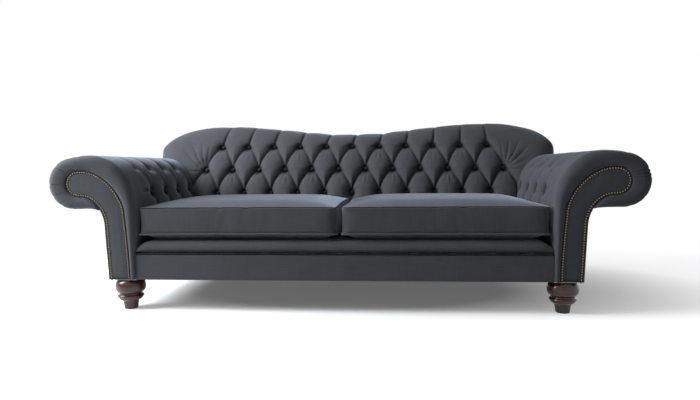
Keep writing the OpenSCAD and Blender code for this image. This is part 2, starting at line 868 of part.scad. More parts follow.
module arm_buttons(side) {
    low_lift_share = 0.315;
    high_lift_share = 0.237;
    color("slategray")
        on_side(side)
            for (low = [true, false], i = [0:arm_columns - 1]) {
                row = low ? arm_low_row : arm_high_row;
                outer = pad_outer(rail_top)[row + 2];
                inner = pad_inner(rail_top)[row + 2];
                pit = outer + arm_pit * unit(inner - outer);
                out = unit(outer - inner);
                tilt = atan2(out[0], out[1]);
                y = arm_row_y + (i - (low ? 0 : 0.5)) * arm_pitch;
                translate([pit[0], y, pit[1]])
                    rotate([0, tilt, 0])
                        translate([0, 0, arm_pit * (low ? low_lift_share : high_lift_share)]) button();
            }
}

module facing(side) {
    color("slategray") on_side(side) slab(facing_y, facing_y + facing_t) polygon(board_path);
}

module rear_facing(side) {
    color("slategray")
        on_side(side)
            slab(frame_back_y + gap, frame_back_y + gap + cloth_t) polygon(board_path);
}

module nails(side) {
    path = push_out(board_path, -nail_inset);
    color("goldenrod")
        on_side(side)
            for (p = equal_steps(path, nail_pitch))
                translate([p[0], facing_y - gap / 3, p[1]])
                    rotate([90, 0, 0]) cylinder(r1 = nail_r, r2 = nail_r * 0.5, h = nail_h, $fn = 16);
}

// Cloth on card down the outside of the arm, from under the scroll to the floor of the frame
module outside_arm(side) {
    wrap = 1;
    line = concat(
        [for (i = [4:flare_steps]) quarter_turn(neck, neck_top, 2, 90 - i * 90 / flare_steps)],
        [[stem_in + stem_w, base_h]]);
    near = push_out(line, gap);
    far = push_out(line, gap + cloth_t);
    color("slategray")
        on_side(side)
            slab(facing_y - wrap, frame_back_y + gap + cloth_t)
                polygon(concat(near, [for (i = [len(far) - 1:-1:0]) far[i]]));
}

module outside_back() {
    edge = push_out(concat(board_stem, board_flare(flare_steps * fine)), soft_gap);
    top = [[head_c[0] - head_run, hook_h - gap]];
    right = concat(edge, top);
    left = [for (i = [len(right) - 1:-1:0]) [-right[i][0], right[i][1]]];
    color("slategray")
        slab(frame_back_y + gap, frame_back_y + gap + cloth_t) polygon(concat(right, left));
}

// Seat cushions

long_shares = [0.6, 0.2, -0.2, -0.6];
short_shares = [0.5, 0, -0.5];
function slack(t) = 1 - pow(t, 4);

// Rounded rectangle of the cushion as seen from above, drawn in along each side
function cushion_ring(w, d, r, pull, z) =
    let (hw = w / 2, hd = d / 2,
         corner = function(cx, cy, a0) [for (a = [0, 45, 90]) [cx + r * cos(a0 + a), cy + r * sin(a0 + a)]],
         side_points = concat(
             corner(hw - r, hd - r, 0),
             [for (t = long_shares) [t * (hw - r), hd - pull * slack(t)]],
             corner(-hw + r, hd - r, 90),
             [for (t = short_shares) [-hw + pull * 0.5 * slack(t), t * (hd - r)]],
             corner(-hw + r, -hd + r, 180),
             [for (t = long_shares) [-t * (hw - r), -hd + pull * slack(t)]],
             corner(hw - r, -hd + r, 270),
             [for (t = short_shares) [hw - pull * 0.5 * slack(t), -t * (hd - r)]]))
    [for (p = side_points) [p[0], p[1], z]];

cushion_d = cushion_y1 - cushion_y0;

function cushion_rings() =
    let (w = cushion_w, d = cushion_d, po = piping_out)
    [
        cushion_ring(w * 0.7, d * 0.66, corner_r, 0, cushion_floor),
        cushion_ring(w * 0.93, d * 0.92, corner_r, 0, mix(cushion_floor, border_low, 0.4)),
        cushion_ring(w - 2 * po, d - 2 * po, corner_r, draw_in, border_low - piping_h / 3),
        cushion_ring(w, d, corner_r, draw_in, border_low + piping_h / 4),
        cushion_ring(w - 3 * po, d - 3 * po, corner_r, draw_in * 1.2, border_low + piping_h),
        cushion_ring(w - 3 * po, d - 3 * po, corner_r, draw_in * 1.2, seam_h - piping_h),
        cushion_ring(w, d, corner_r, draw_in, seam_h),
        cushion_ring(w - 3 * po, d - 3 * po, corner_r, draw_in, seam_h + piping_h * 0.6),
        cushion_ring(w * 0.9, d * 0.88, corner_r, draw_in, seam_h + crown * 0.6),
        cushion_ring(w * 0.62, d * 0.58, corner_r, 0, seam_h + crown * 0.95),
    ];

module cushion_form() {
    rings = cushion_rings();
    count = len(rings[0]);
    rows = len(rings);
    low = rows * count;
    high = low + 1;
    last = (rows - 1) * count;
    points = concat([for (r = rings) each r], [[0, 0, cushion_floor], [0, 0, seam_h + crown]]);
    walls = [for (k = [0:rows - 2], j = [0:count - 1])
        let (a = k * count + j, b = k * count + (j + 1) % count)
        each [[a, a + count, b + count], [a, b + count, b]]];
    floor_fan = [for (j = [0:count - 1]) [low, j, (j + 1) % count]];
    crown_fan = [for (j = [0:count - 1]) [high, last + (j + 1) % count, last + j]];
    polyhedron(points, concat(walls, floor_fan, crown_fan));
}

module core_block(grow) {
    w = cushion_w - 2 * core_margin + 2 * grow;
    d = cushion_d - 2 * core_margin + 2 * grow;
    z0 = border_low + piping_h - grow;
    z1 = seam_h - piping_h + grow;
    translate([-w / 2, -d / 2, z0]) cube([w, d, z1 - z0]);
}

module at_cushion(side) {
    translate([side * cushion_x, (cushion_y0 + cushion_y1) / 2, 0]) children();
}

module seat_cushion(side) {
    color("slategray")
        at_cushion(side)
            difference() {
                cushion_form();
                core_block(gap);
            }
}

module cushion_core(side) {
    color("beige") at_cushion(side) core_block(0);
}

module cushion_zip(side) {
    zip_share = 0.4;
    zip_h = 8;
    zip_t = 1.5;
    w = cushion_w * zip_share;
    y = cushion_d / 2 - 1.5 * piping_out - draw_in * 1.2 + 2 * gap;
    color("black")
        at_cushion(side)
            translate([-w / 2, y, (seam_h + border_low - zip_h) / 2]) cube([w, zip_t, zip_h]);
}

front_rail();
back_rail();
side_rail(-1);  // side_rail_left
side_rail(1);  // side_rail_right
centre_stretcher();
corner_blocks();
arm_board(-1);  // arm_board_left
arm_board(1);  // arm_board_right
rear_arm_board(-1);  // rear_arm_board_left
rear_arm_board(1);  // rear_arm_board_right
arm_top_rail(-1);  // arm_top_rail_left
arm_top_rail(1);  // arm_top_rail_right
arm_tack_rail(-1);  // arm_tack_rail_left
arm_tack_rail(1);  // arm_tack_rail_right
back_posts();
back_uprights();
back_top_rail();
back_tack_rail();
back_webbing();
seat_springs();
spring_clips();
front_foot(-1);  // front_foot_left
front_foot(1);  // front_foot_right
rear_leg(-1);  // rear_leg_left
rear_leg(1);  // rear_leg_right
foot_plates();
foot_studs();
dust_cloth();
seat_platform();
front_apron();
apron_piping();
arm_pad(-1);  // arm_pad_left
arm_pad(1);  // arm_pad_right
back_pad();
back_buttons();
arm_buttons(-1);  // arm_buttons_left
arm_buttons(1);  // arm_buttons_right
facing(-1);  // facing_left
facing(1);  // facing_right
nails(-1);  // nails_left
nails(1);  // nails_right
rear_facing(-1);  // rear_facing_left
rear_facing(1);  // rear_facing_right
outside_arm(-1);  // outside_arm_left
outside_arm(1);  // outside_arm_right
outside_back();
seat_cushion(-1);  // seat_cushion_left
seat_cushion(1);  // seat_cushion_right
cushion_core(-1);  // cushion_core_left
cushion_core(1);  // cushion_core_right
cushion_zip(-1);  // cushion_zip_left
cushion_zip(1);  // cushion_zip_right
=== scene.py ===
import json
import math

import bmesh
import bpy
import numpy as np
from mathutils import Matrix, Vector, noise

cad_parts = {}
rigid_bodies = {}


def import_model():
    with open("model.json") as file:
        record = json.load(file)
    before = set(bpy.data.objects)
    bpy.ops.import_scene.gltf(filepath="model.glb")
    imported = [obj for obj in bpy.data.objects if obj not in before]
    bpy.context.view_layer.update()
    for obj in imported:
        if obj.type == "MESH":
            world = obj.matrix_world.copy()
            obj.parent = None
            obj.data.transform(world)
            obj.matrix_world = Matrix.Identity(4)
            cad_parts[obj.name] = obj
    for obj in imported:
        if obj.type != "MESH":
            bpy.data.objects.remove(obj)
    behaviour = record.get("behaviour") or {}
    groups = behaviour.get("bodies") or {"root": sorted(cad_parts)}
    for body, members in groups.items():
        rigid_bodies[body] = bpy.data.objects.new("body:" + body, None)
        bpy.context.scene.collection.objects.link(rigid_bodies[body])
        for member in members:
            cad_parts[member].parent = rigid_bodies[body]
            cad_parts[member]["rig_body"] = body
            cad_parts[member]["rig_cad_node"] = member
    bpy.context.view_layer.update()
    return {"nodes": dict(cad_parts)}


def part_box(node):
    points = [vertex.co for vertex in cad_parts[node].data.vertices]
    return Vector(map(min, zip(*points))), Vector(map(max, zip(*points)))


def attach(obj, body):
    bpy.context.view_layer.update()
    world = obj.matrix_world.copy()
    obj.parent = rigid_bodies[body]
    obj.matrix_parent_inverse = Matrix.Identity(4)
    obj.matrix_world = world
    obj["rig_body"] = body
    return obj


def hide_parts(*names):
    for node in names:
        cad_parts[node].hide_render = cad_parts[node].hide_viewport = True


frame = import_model()


# Viewpoint
# The sofa is seen from the front, a little right of its middle and turned slightly to the left, from just
# above the cushions, with a normal lens.

def placed(name, data):
    """Adds an object that holds the mesh, lamp or camera."""
    made = bpy.data.objects.new(name, data)
    bpy.context.scene.collection.objects.link(made)
    return made


eye = Vector((0.2151, -2.7133, 0.5824))
turn_left, look_down, lean_over = 0.0761, 0.0579, -0.0091
ahead = Vector((-math.sin(turn_left) * math.cos(look_down),
                math.cos(turn_left) * math.cos(look_down),
                -math.sin(look_down)))
level_right = Vector((math.cos(turn_left), math.sin(turn_left), 0))
level_up = level_right.cross(ahead)
right = math.cos(lean_over) * level_right + math.sin(lean_over) * level_up
up = math.cos(lean_over) * level_up - math.sin(lean_over) * level_right
lens = bpy.data.cameras.new("view")
lens.sensor_width = 36
lens.lens = 29.0
viewer = placed("view", lens)
viewer.matrix_world = Matrix((
    (right.x, up.x, -ahead.x, eye.x),
    (right.y, up.y, -ahead.y, eye.y),
    (right.z, up.z, -ahead.z, eye.z),
    (0, 0, 0, 1)))
bpy.context.scene.camera = viewer


# Beech frame, inside the upholstery
# Rails, boards, posts and blocks sawn from beech, glued and doweled. They are covered all over, so the wood
# is left raw. The shader helpers that every finish uses come with this first one.

class Wire:
    """A value in a finish, written as a Python expression."""

    def __init__(self, finish, socket):
        self.finish, self.socket = finish, socket

    def __add__(self, other):
        return self.finish.maths("ADD", self, other)

    def __rsub__(self, other):
        return self.finish.maths("SUBTRACT", other, self)

    def __mul__(self, other):
        return self.finish.maths("MULTIPLY", self, other)

    def __pow__(self, other):
        return self.finish.maths("POWER", self, other)

    def wave(self):
        return self.finish.maths("SINE", self)

    def clipped(self):
        return self.finish.maths("MAXIMUM", self.finish.maths("MINIMUM", self, 1.0), 0.0)

    __radd__ = __add__
    __rmul__ = __mul__


class Finish:
    """A material whose surface is one Principled shader."""

    def __init__(self, name, **constants):
        self.material = bpy.data.materials.new(name)
        self.material.use_nodes = True
        self.tree = self.material.node_tree
        self.shader = self.tree.nodes["Principled BSDF"]
        for socket, value in constants.items():
            self.shader.inputs[socket.replace("_", " ")].default_value = value

    def node(self, kind, settings=None, out=0, **inputs):
        made = self.tree.nodes.new("ShaderNode" + kind)
        for key, value in (settings or {}).items():
            if key == "stops":
                ramp = made.color_ramp
                while len(ramp.elements) < len(value):
                    ramp.elements.new(0.5)
                for element, (place, colour) in zip(ramp.elements, value):
                    element.position = place
                    element.color = (*colour, 1)
            else:
                setattr(made, key, value)
        for key, value in inputs.items():
            which = int(key[1:]) if key[1:].isdigit() else key.replace("_", " ")
            socket = made.inputs[which]
            if isinstance(value, Wire):
                self.tree.links.new(value.socket, socket)
            else:
                socket.default_value = value
        return Wire(self, made.outputs[out])

    def maths(self, operation, a, b=0.0):
        return self.node("Math", {"operation": operation}, i0=a, i1=b)

    def place(self, which="Object"):
        return self.node("TexCoord", out=which)

    def stretched(self, vector, scale):
        return self.node("Mapping", Vector=vector, Scale=scale)

    def cloud(self, vector, scale, detail=2.0, rough=0.5):
        return self.node("TexNoise", out="Fac", Vector=vector, Scale=scale, Detail=detail, Roughness=rough)

    def blend(self, amount, a, b):
        return self.node("Mix", {"data_type": "RGBA"}, out=2, i0=amount, i6=a, i7=b)

    def shaded(self, amount, dark_at, dark, light_at, light):
        return self.node("ValToRGB", {"stops": [(dark_at, dark), (light_at, light)]}, Fac=amount)

    def feed(self, socket, wire):
        self.tree.links.new(wire.socket, self.shader.inputs[socket])

    def raised(self, height, depth, strength):
        return self.node("Bump", Height=height, Distance=depth, Strength=strength)


def dress(node, finish):
    node = frame["nodes"][node]
    node.data.materials.clear()
    node.data.materials.append(finish.material)


def wood(name, dark, light, rough, ring_scale, coat):
    made = Finish(name, Roughness=rough, Specular_IOR_Level=0.2,
                  Coat_Weight=coat, Coat_Roughness=0.05, Coat_IOR=1.36)
    grain_place = made.stretched(made.place(), (1.0, 6.0, 6.0))
    figure = made.cloud(grain_place, ring_scale, 4.0, 0.6)
    rings = ((figure * 34.0).wave() * 0.5 + 0.5) ** 1.5
    pores = made.cloud(made.stretched(made.place(), (30.0, 400.0, 400.0)), 3.0, 2.0)
    tone = (rings * 0.65 + pores * 0.35).clipped()
    made.feed("Base Color", made.shaded(tone, 0.15, dark, 0.85, light))
    made.feed("Roughness", pores * 0.12 + (rough - 0.05))
    made.feed("Normal", made.raised(pores * 0.6 + rings * 0.4, 0.0004, 0.4))
    return made


beech = wood("raw_beech", (0.42, 0.27, 0.15), (0.68, 0.5, 0.32), rough=0.62, ring_scale=3.0, coat=0.0)
for name in ("front_rail", "back_rail", "side_rail_left", "side_rail_right", "centre_stretcher",
             "corner_blocks", "arm_board_left", "arm_board_right", "rear_arm_board_left",
             "rear_arm_board_right", "arm_top_rail_left", "arm_top_rail_right", "arm_tack_rail_left",
             "arm_tack_rail_right", "back_posts", "back_uprights", "back_top_rail", "back_tack_rail"):
    dress(name, beech)


# Springs, clips, plates and studs
# Zigzag springs of oiled steel wire run from the front rail to the back rail in pressed clips. Plates of
# zinc-plated steel carry the studs that the feet are turned onto.

spring_steel = Finish("oiled_steel", Metallic=1.0, Roughness=0.34)
smut = spring_steel.cloud(spring_steel.place(), 60.0, 3.0)
spring_steel.feed("Base Color", spring_steel.shaded(smut, 0.3, (0.2, 0.2, 0.21), 0.75, (0.42, 0.42, 0.43)))
spring_steel.feed("Roughness", smut * 0.2 + 0.26)
for name in ("seat_springs", "spring_clips", "foot_plates", "foot_studs"):
    dress(name, spring_steel)


# Jute webbing and dust cloth
# Strips of jute webbing, tacked over the back frame, carry the stuffing. A thin black cloth is stapled under
# the seat frame against dust.

def woven(finish, place, pitch):
    across = finish.node("SeparateXYZ", Vector=place)
    along = Wire(finish, across.socket.node.outputs[1])
    warp = (across * (math.pi / pitch)).wave()
    weft = (along * (math.pi / pitch)).wave()
    return (warp * weft * 0.5 + 0.5).clipped()


jute = Finish("jute_webbing", Roughness=0.9)
strands = woven(jute, jute.place(), 0.003)
jute.feed("Base Color", jute.shaded(strands, 0.0, (0.25, 0.16, 0.08), 1.0, (0.5, 0.36, 0.2)))
jute.feed("Normal", jute.raised(strands, 0.0008, 0.6))
dress("back_webbing", jute)

lining = Finish("dust_cloth", Roughness=0.85)
fuzz = lining.cloud(lining.place(), 900.0, 2.0)
lining.feed("Base Color", lining.shaded(fuzz, 0.2, (0.012, 0.012, 0.013), 0.9, (0.03, 0.03, 0.032)))
lining.feed("Normal", lining.raised(fuzz, 0.0002, 0.4))
dress("dust_cloth", lining)


# Turned front feet
# Each front foot is turned from one block of mahogany: a full bun under the plate, a neck, a bead and a
# tapered toe. It is stained nearly black-red and polished.

def select_only(piece):
    bpy.ops.object.select_all(action="DESELECT")
    piece.select_set(True)
    bpy.context.view_layer.objects.active = piece


def edited(piece, work):
    select_only(piece)
    bpy.ops.object.mode_set(mode="EDIT")
    work()
    bpy.ops.object.mode_set(mode="OBJECT")


def face_outwards(piece, merge_within=None):
    """Merges points that lie within that distance, if any, and turns every face outwards."""
    def turn():
        bpy.ops.mesh.select_all(action="SELECT")
        if merge_within:
            bpy.ops.mesh.remove_doubles(threshold=merge_within)
        bpy.ops.mesh.normals_make_consistent(inside=False)

    edited(piece, turn)


def turned(name, profile, centre, steps):
    """Spins a profile of radius and height pairs about an upright axis."""
    mesh = bpy.data.meshes.new(name)
    mesh.from_pydata([(centre[0] + r, centre[1], z) for r, z in profile],
                     [(i, i + 1) for i in range(len(profile) - 1)], [])
    piece = placed(name, mesh)

    def spin():
        bpy.ops.mesh.select_all(action="SELECT")
        bpy.ops.mesh.spin(steps=steps, angle=2 * math.pi, center=(centre[0], centre[1], 0), axis=(0, 0, 1))

    edited(piece, spin)
    face_outwards(piece, 0.00002)
    return piece


def curve_through(points, steps):
    """A smooth line through the points, with that many steps between each two."""
    line = []
    for i in range(len(points) - 1):
        a, b, c, d = (Vector(points[max(0, min(len(points) - 1, i + k))]) for k in (-1, 0, 1, 2))
        for k in range(steps):
            t = k / steps
            line.append(0.5 * (2 * b + (c - a) * t + (2 * a - 5 * b + 4 * c - d) * t * t
                               + (3 * b - a - 3 * c + d) * t * t * t))
    return line + [Vector(points[-1])]


def finish_piece(piece, body, finish, stands_for, smooth):
    """Shades the piece, smooth where its faces meet within that angle, and says what it rides on."""
    piece.data.materials.clear()
    piece.data.materials.append(finish.material)
    select_only(piece)
    bpy.ops.object.shade_smooth_by_angle(angle=math.radians(smooth))
    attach(piece, body)
    if stands_for:
        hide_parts(*stands_for)


mahogany = wood("polished_mahogany", (0.012, 0.0018, 0.0013), (0.05, 0.0062, 0.0034),
                rough=0.4, ring_scale=5.0, coat=1.0)
foot_low, foot_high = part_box("front_foot_right")
foot_r, foot_top = (foot_high.x - foot_low.x) / 2, foot_high.z
foot_shape = [  # radius as a share of the bun's, height as a share of the foot's
    (0.0, 0.0), (0.4, 0.0), (0.445, 0.012), (0.462, 0.04), (0.485, 0.13), (0.515, 0.22), (0.545, 0.272),
    (0.555, 0.283), (0.66, 0.3), (0.75, 0.335), (0.79, 0.37), (0.795, 0.385), (0.8, 0.388), (0.845, 0.398),
    (0.868, 0.43), (0.845, 0.462), (0.8, 0.478), (0.77, 0.484), (0.758, 0.5), (0.76, 0.522), (0.79, 0.54),
    (0.87, 0.57), (0.945, 0.62), (0.985, 0.68), (1.0, 0.75), (0.985, 0.83), (0.93, 0.905), (0.84, 0.962),
    (0.72, 0.992), (0.6, 1.0), (0.0, 1.0)]
foot_line = [(0.0, 0.0)] + [(p.x * foot_r, max(0.0, min(foot_top, p.y * foot_top)))
                            for p in curve_through(foot_shape[1:-1], 3)] + [(0.0, foot_top)]
for side in ("left", "right"):
    low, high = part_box("front_foot_" + side)
    foot = turned("turned_foot_" + side, foot_line, ((low.x + high.x) / 2, (low.y + high.y) / 2), 64)
    finish_piece(foot, "frame", mahogany, ["front_foot_" + side], 38)


# Back legs
# Square tapered legs of the same mahogany, raked back and screwed to their plates. Their sawn corners are
# softened with sandpaper before the polish.

for side in ("left", "right"):
    leg = frame["nodes"]["rear_leg_" + side].copy()
    leg.data = leg.data.copy()
    leg.name = "raked_leg_" + side
    leg.parent = None
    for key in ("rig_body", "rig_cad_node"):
        leg.pop(key, None)
    bpy.context.scene.collection.objects.link(leg)

    def soften():
        bpy.ops.mesh.select_all(action="SELECT")
        bpy.ops.mesh.remove_doubles(threshold=0.00002)
        bpy.ops.mesh.dissolve_limited(angle_limit=math.radians(1))

    edited(leg, soften)
    rounding = leg.modifiers.new("softened", "BEVEL")
    rounding.width, rounding.segments, rounding.angle_limit = 0.003, 3, math.radians(40)
    select_only(leg)
    bpy.ops.object.modifier_apply(modifier="softened")
    finish_piece(leg, "frame", mahogany, ["rear_leg_" + side], 38)


# Seat deck, with its rounded front lip
# A pad of felt and foam over the springs, covered in the sofa's cloth. Its lip rolls over the front rail and
# sinks at both ends, pulled down beside the arms. The cloth's finish, for every cover, is made here.

def cover_cloth(name):
    """Fine plain weave of uneven yarn, in charcoal grey, laid along the piece's own measure in metres."""
    made = Finish(name, Roughness=0.8, Specular_IOR_Level=0.1, Sheen_Weight=0.36, Sheen_Roughness=0.4,
                  Sheen_Tint=(0.72, 0.84, 1.0, 1.0))
    flat = made.place("UV")
    warp = made.cloud(made.stretched(flat, (820.0, 14.0, 820.0)), 1.0, 2.0, 0.6)
    weft = made.cloud(made.stretched(flat, (14.0, 820.0, 14.0)), 1.0, 2.0, 0.6)
    slub = made.cloud(made.stretched(flat, (160.0, 5.0, 160.0)), 1.0, 3.0, 0.6)
    shade = made.cloud(flat, 5.0, 3.0)
    tone = (warp * 0.36 + weft * 0.34 + slub * 0.14 + shade * 0.16).clipped()
    yarns = made.shaded(tone, 0.3, (0.036, 0.0365, 0.040), 0.7, (0.071, 0.073, 0.080))
    # Painted shade: the yarn colour is blended towards near black by the number each piece marks on its
    # points, standing in for the shadow in folds, pits, crevices and under the cushions.
    shade_paint = made.node("Attribute", {"attribute_name": "fold_depth"}, out="Fac")
    made.feed("Base Color", made.blend(shade_paint, yarns, (0.006, 0.0058, 0.006, 1)))
    made.feed("Roughness", 0.94 - tone * 0.2)
    yarn = woven(made, flat, 0.0011)
    made.feed("Normal", made.raised(yarn * 0.55 + tone * 0.45, 0.0005, 0.35))
    return made


def marked(mesh, name, values):
    """Gives every point of the mesh a number, which the finishes read by that name."""
    numbers = mesh.attributes.new(name, "FLOAT", "POINT")
    numbers.data.foreach_set("value", np.asarray(values, np.float32).ravel())


def sheet_of(name, points, deep=None):
    """A mesh from closed rows of points, with its flat measure as the UV map.

    The last argument says how much painted shade each point gets, standing in for the shadow down in folds.
    """
    rows, count = points.shape[:2]
    start, step = np.arange(rows - 1)[:, None] * count, np.arange(count)
    a, b = (start + step).ravel(), (start + (step + 1) % count).ravel()
    faces = np.stack([a, b, b + count, a + count], 1)
    mesh = bpy.data.meshes.new(name)
    mesh.from_pydata(points.reshape(-1, 3).tolist(), [], faces.tolist())
    steps_u = np.linalg.norm(np.diff(points, axis=1, append=points[:, :1]), axis=2).mean(0)
    steps_v = np.linalg.norm(np.diff(points, axis=0), axis=2).mean(1)
    u = np.concatenate([[0], np.cumsum(steps_u)])
    v = np.concatenate([[0], np.cumsum(steps_v)])
    flat = mesh.uv_layers.new(name="measure")
    uvs = []
    for r in range(rows - 1):
        for c in range(count):
            uvs += [(u[c], v[r]), (u[c + 1], v[r]), (u[c + 1], v[r + 1]), (u[c], v[r + 1])]
    flat.data.foreach_set("uv", np.array(uvs, np.float32).ravel())
    if deep is not None:
        marked(mesh, "fold_depth", deep)
    return placed(name, mesh)


def close_ends(piece):
    """Fills the two open ends of a closed sheet, and turns the faces outwards."""
    def fill():
        bpy.ops.mesh.select_all(action="DESELECT")
        bpy.ops.mesh.select_mode(type="EDGE")
        bpy.ops.mesh.select_non_manifold()
        bpy.ops.mesh.fill_holes(sides=0)

    edited(piece, fill)
    face_outwards(piece)


def uneven(points, size, depth, seed):
    """A slow unevenness of hand-laid stuffing, as one number for each point."""
    start = Vector((seed, 2 * seed, 0))
    rise = [noise.noise(Vector(p) + start) for p in points.reshape(-1, 3) / size]
    return depth * np.array(rise).reshape(points.shape[:-1])


def vertex_places(piece):
    places = np.empty(len(piece.data.vertices) * 3, np.float32)
    piece.data.vertices.foreach_get("co", places)
    return places.reshape(-1, 3).astype(float)


def lay_flat(piece, first, second):
    """Lays the cloth's measure on a flat piece, along two of its axes."""
    mesh = piece.data
    flat = mesh.uv_layers.get("measure") or mesh.uv_layers.new(name="measure")
    corners = np.empty(len(mesh.loops), np.int32)
    mesh.loops.foreach_get("vertex_index", corners)
    spread = vertex_places(piece)[corners][:, (first, second)]
    flat.data.foreach_set("uv", spread.astype(np.float32).ravel())


def covered(name, points, node, smooth, deep=None, flat=None):
    """A cover from closed rows of points with its ends filled, in the sofa's cloth, in place of that node.

    flat names the two axes that the cloth's measure follows, where the piece is flat.
    """
    piece = sheet_of(name, points, deep)
    close_ends(piece)
    if flat:
        lay_flat(piece, *flat)
    finish_piece(piece, "frame", cloth, [node], smooth)
    return piece


cloth = cover_cloth("charcoal_cloth")
deck_low, deck_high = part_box("seat_platform")
lip_d, lip_rise, deck_sink, sink_run = 0.034, 0.58, 0.026, 0.056
deck_foot, deck_top = deck_low.z, deck_high.z
xs = np.concatenate([deck_low.x + sink_run * np.linspace(0, 1, 14) ** 1.4,
                     np.linspace(deck_low.x + sink_run, deck_high.x - sink_run, 150)[1:-1],
                     deck_high.x - sink_run * np.linspace(1, 0, 14) ** 1.4])
rings = []
for x in xs:
    near_end = max(0.0, 1 - min(x - deck_low.x, deck_high.x - x) / sink_run)
    sunk = near_end ** 1.7
    front = deck_low.y + 0.006 * sunk
    tall = deck_top - deck_sink * sunk - deck_foot
    angles = np.radians(np.linspace(196, 90, 22))
    ring = [(x, front + 0.012, deck_foot)]
    ring += [(x, front + lip_d * (1 + math.cos(a)),
              deck_foot + tall * max(0.0, 1 - lip_rise + lip_rise * math.sin(a))) for a in angles]
    ring += [(x, y, deck_foot + tall) for y in np.linspace(front + lip_d, deck_high.y, 40)[1:]]
    ring += [(x, deck_high.y, deck_foot)]
    rings.append(ring)
rings = np.array(rings)
soft = uneven(rings, 0.16, 0.0014, 3.1)
rings[:, 1:21, 1] -= np.minimum(soft[:, 1:21], 0) * np.clip(np.linspace(-0.4, 2.4, 20), 0, 1)
rings[:, 18:-1, 2] += np.minimum(soft[:, 18:-1], 0)
# Painted shade: the two lowest rows of the deck's lip, in the crevice above the cord, are darkened.
deep = np.zeros(rings.shape[:2])
deep[:, :2] = (1.0, 0.45)
deck = covered("seat_deck", rings, "seat_platform", 50, deep)


# Front apron and the piping over it
# The cloth over the front rail is pulled tight and turned under it. A covered cord is sewn between it and
# the lip of the deck.

apron_low, apron_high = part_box("front_apron")
heights = np.linspace(apron_low.z, apron_high.z, 16)
lengths = np.linspace(apron_low.x, apron_high.x, 170)
face_y = apron_low.y
rings = []
for x in lengths:
    ring = [(x, apron_high.y, apron_low.z), (x, face_y + 0.003, apron_low.z)]
    ring += [(x, face_y + 0.0008, apron_low.z + 0.0008)]
    ring += [(x, face_y, z) for z in heights[1:-1]]
    ring += [(x, face_y + 0.0012, apron_high.z - 0.0006), (x, face_y + 0.0035, apron_high.z),
             (x, apron_high.y, apron_high.z)]
    rings.append(ring)
rings = np.array(rings)
ripple = uneven(rings * np.array([1, 1, 0.35]), 0.1, 0.0011, 7.7)
rings[:, 3:-4, 1] -= (ripple[:, 3:-4] - 0.0004) * np.sin(np.linspace(0.15, math.pi, 13))
# Painted shade: the apron's top front edge, in the crevice under the cord, is darkened.
deep = np.zeros(rings.shape[:2])
deep[:, -2] = 1.0
covered("front_apron_cover", rings, "front_apron", 50, deep)


def covered_cord(name, path, radius, closed=False, narrow=1.0):
    """A cord in its sewn cloth tube, with a seam that puckers it a little, squeezed narrow in its depth, and
    painted dark as shade when it is not closed.
    """
    path = np.array(path)
    ahead_of = np.roll(path, -1, 0) - np.roll(path, 1, 0)
    if not closed:
        ahead_of[0], ahead_of[-1] = path[1] - path[0], path[-1] - path[-2]
    ahead_of /= np.linalg.norm(ahead_of, axis=1)[:, None]
    sideways = np.cross(ahead_of, (0, 0, 1.0))
    bad = np.linalg.norm(sideways, axis=1) < 0.2
    sideways[bad] = np.cross(ahead_of[bad], (0, 1.0, 0))
    sideways /= np.linalg.norm(sideways, axis=1)[:, None]
    upward = np.cross(sideways, ahead_of)
    turns = np.radians(np.arange(0, 360, 36))
    cosine, sine = np.cos(turns)[None, :, None], np.sin(turns)[None, :, None]
    ring = narrow * cosine * sideways[:, None] + sine * upward[:, None]
    steps = np.arange(len(path))
    swell = 1 + 0.05 * np.sin(steps * 1.9) * np.sin(steps * 0.37)
    points = path[:, None] + ring * radius * swell[:, None, None]
    if closed:
        points = np.concatenate([points, points[:1]])
    # Painted shade: an open cord is darkened nearly to black, standing in for the shadow of the crevice it
    # lies in.
    piece = sheet_of(name, points, np.full(points.shape[:2], 0.0 if closed else 0.95))
    if closed:
        face_outwards(piece, 0.00001)
    else:
        close_ends(piece)
    return piece


low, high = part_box("apron_piping")
middle = (low + high) / 2
cord_z = (apron_high.z + deck_foot) / 2
cord_line = [(x, middle.y, cord_z) for x in np.linspace(low.x, high.x, 260)]
deck_cord = covered_cord("apron_cord", cord_line, 0.0039, narrow=0.7)
finish_piece(deck_cord, "frame", cloth, ["apron_piping"], 50)


# Padded arms
# Each arm is one deep pad of horsehair and felt under one cover, rolled round the scroll, tacked under it and
# wrapped round the facing in pleats. Twine pulls eight buttons into it, and the cloth between them is folded
# into diamonds.

def nearest_button(u, start, pitch, count):
    return start + pitch * np.clip(np.round((u - start) / pitch), 0, count - 1)


def fold(distance, near, far):
    """Depth share across a fold: steep on the rolled side, gentle on the other."""
    return np.where(distance > 0, np.exp(-distance / far), np.exp(distance / near))


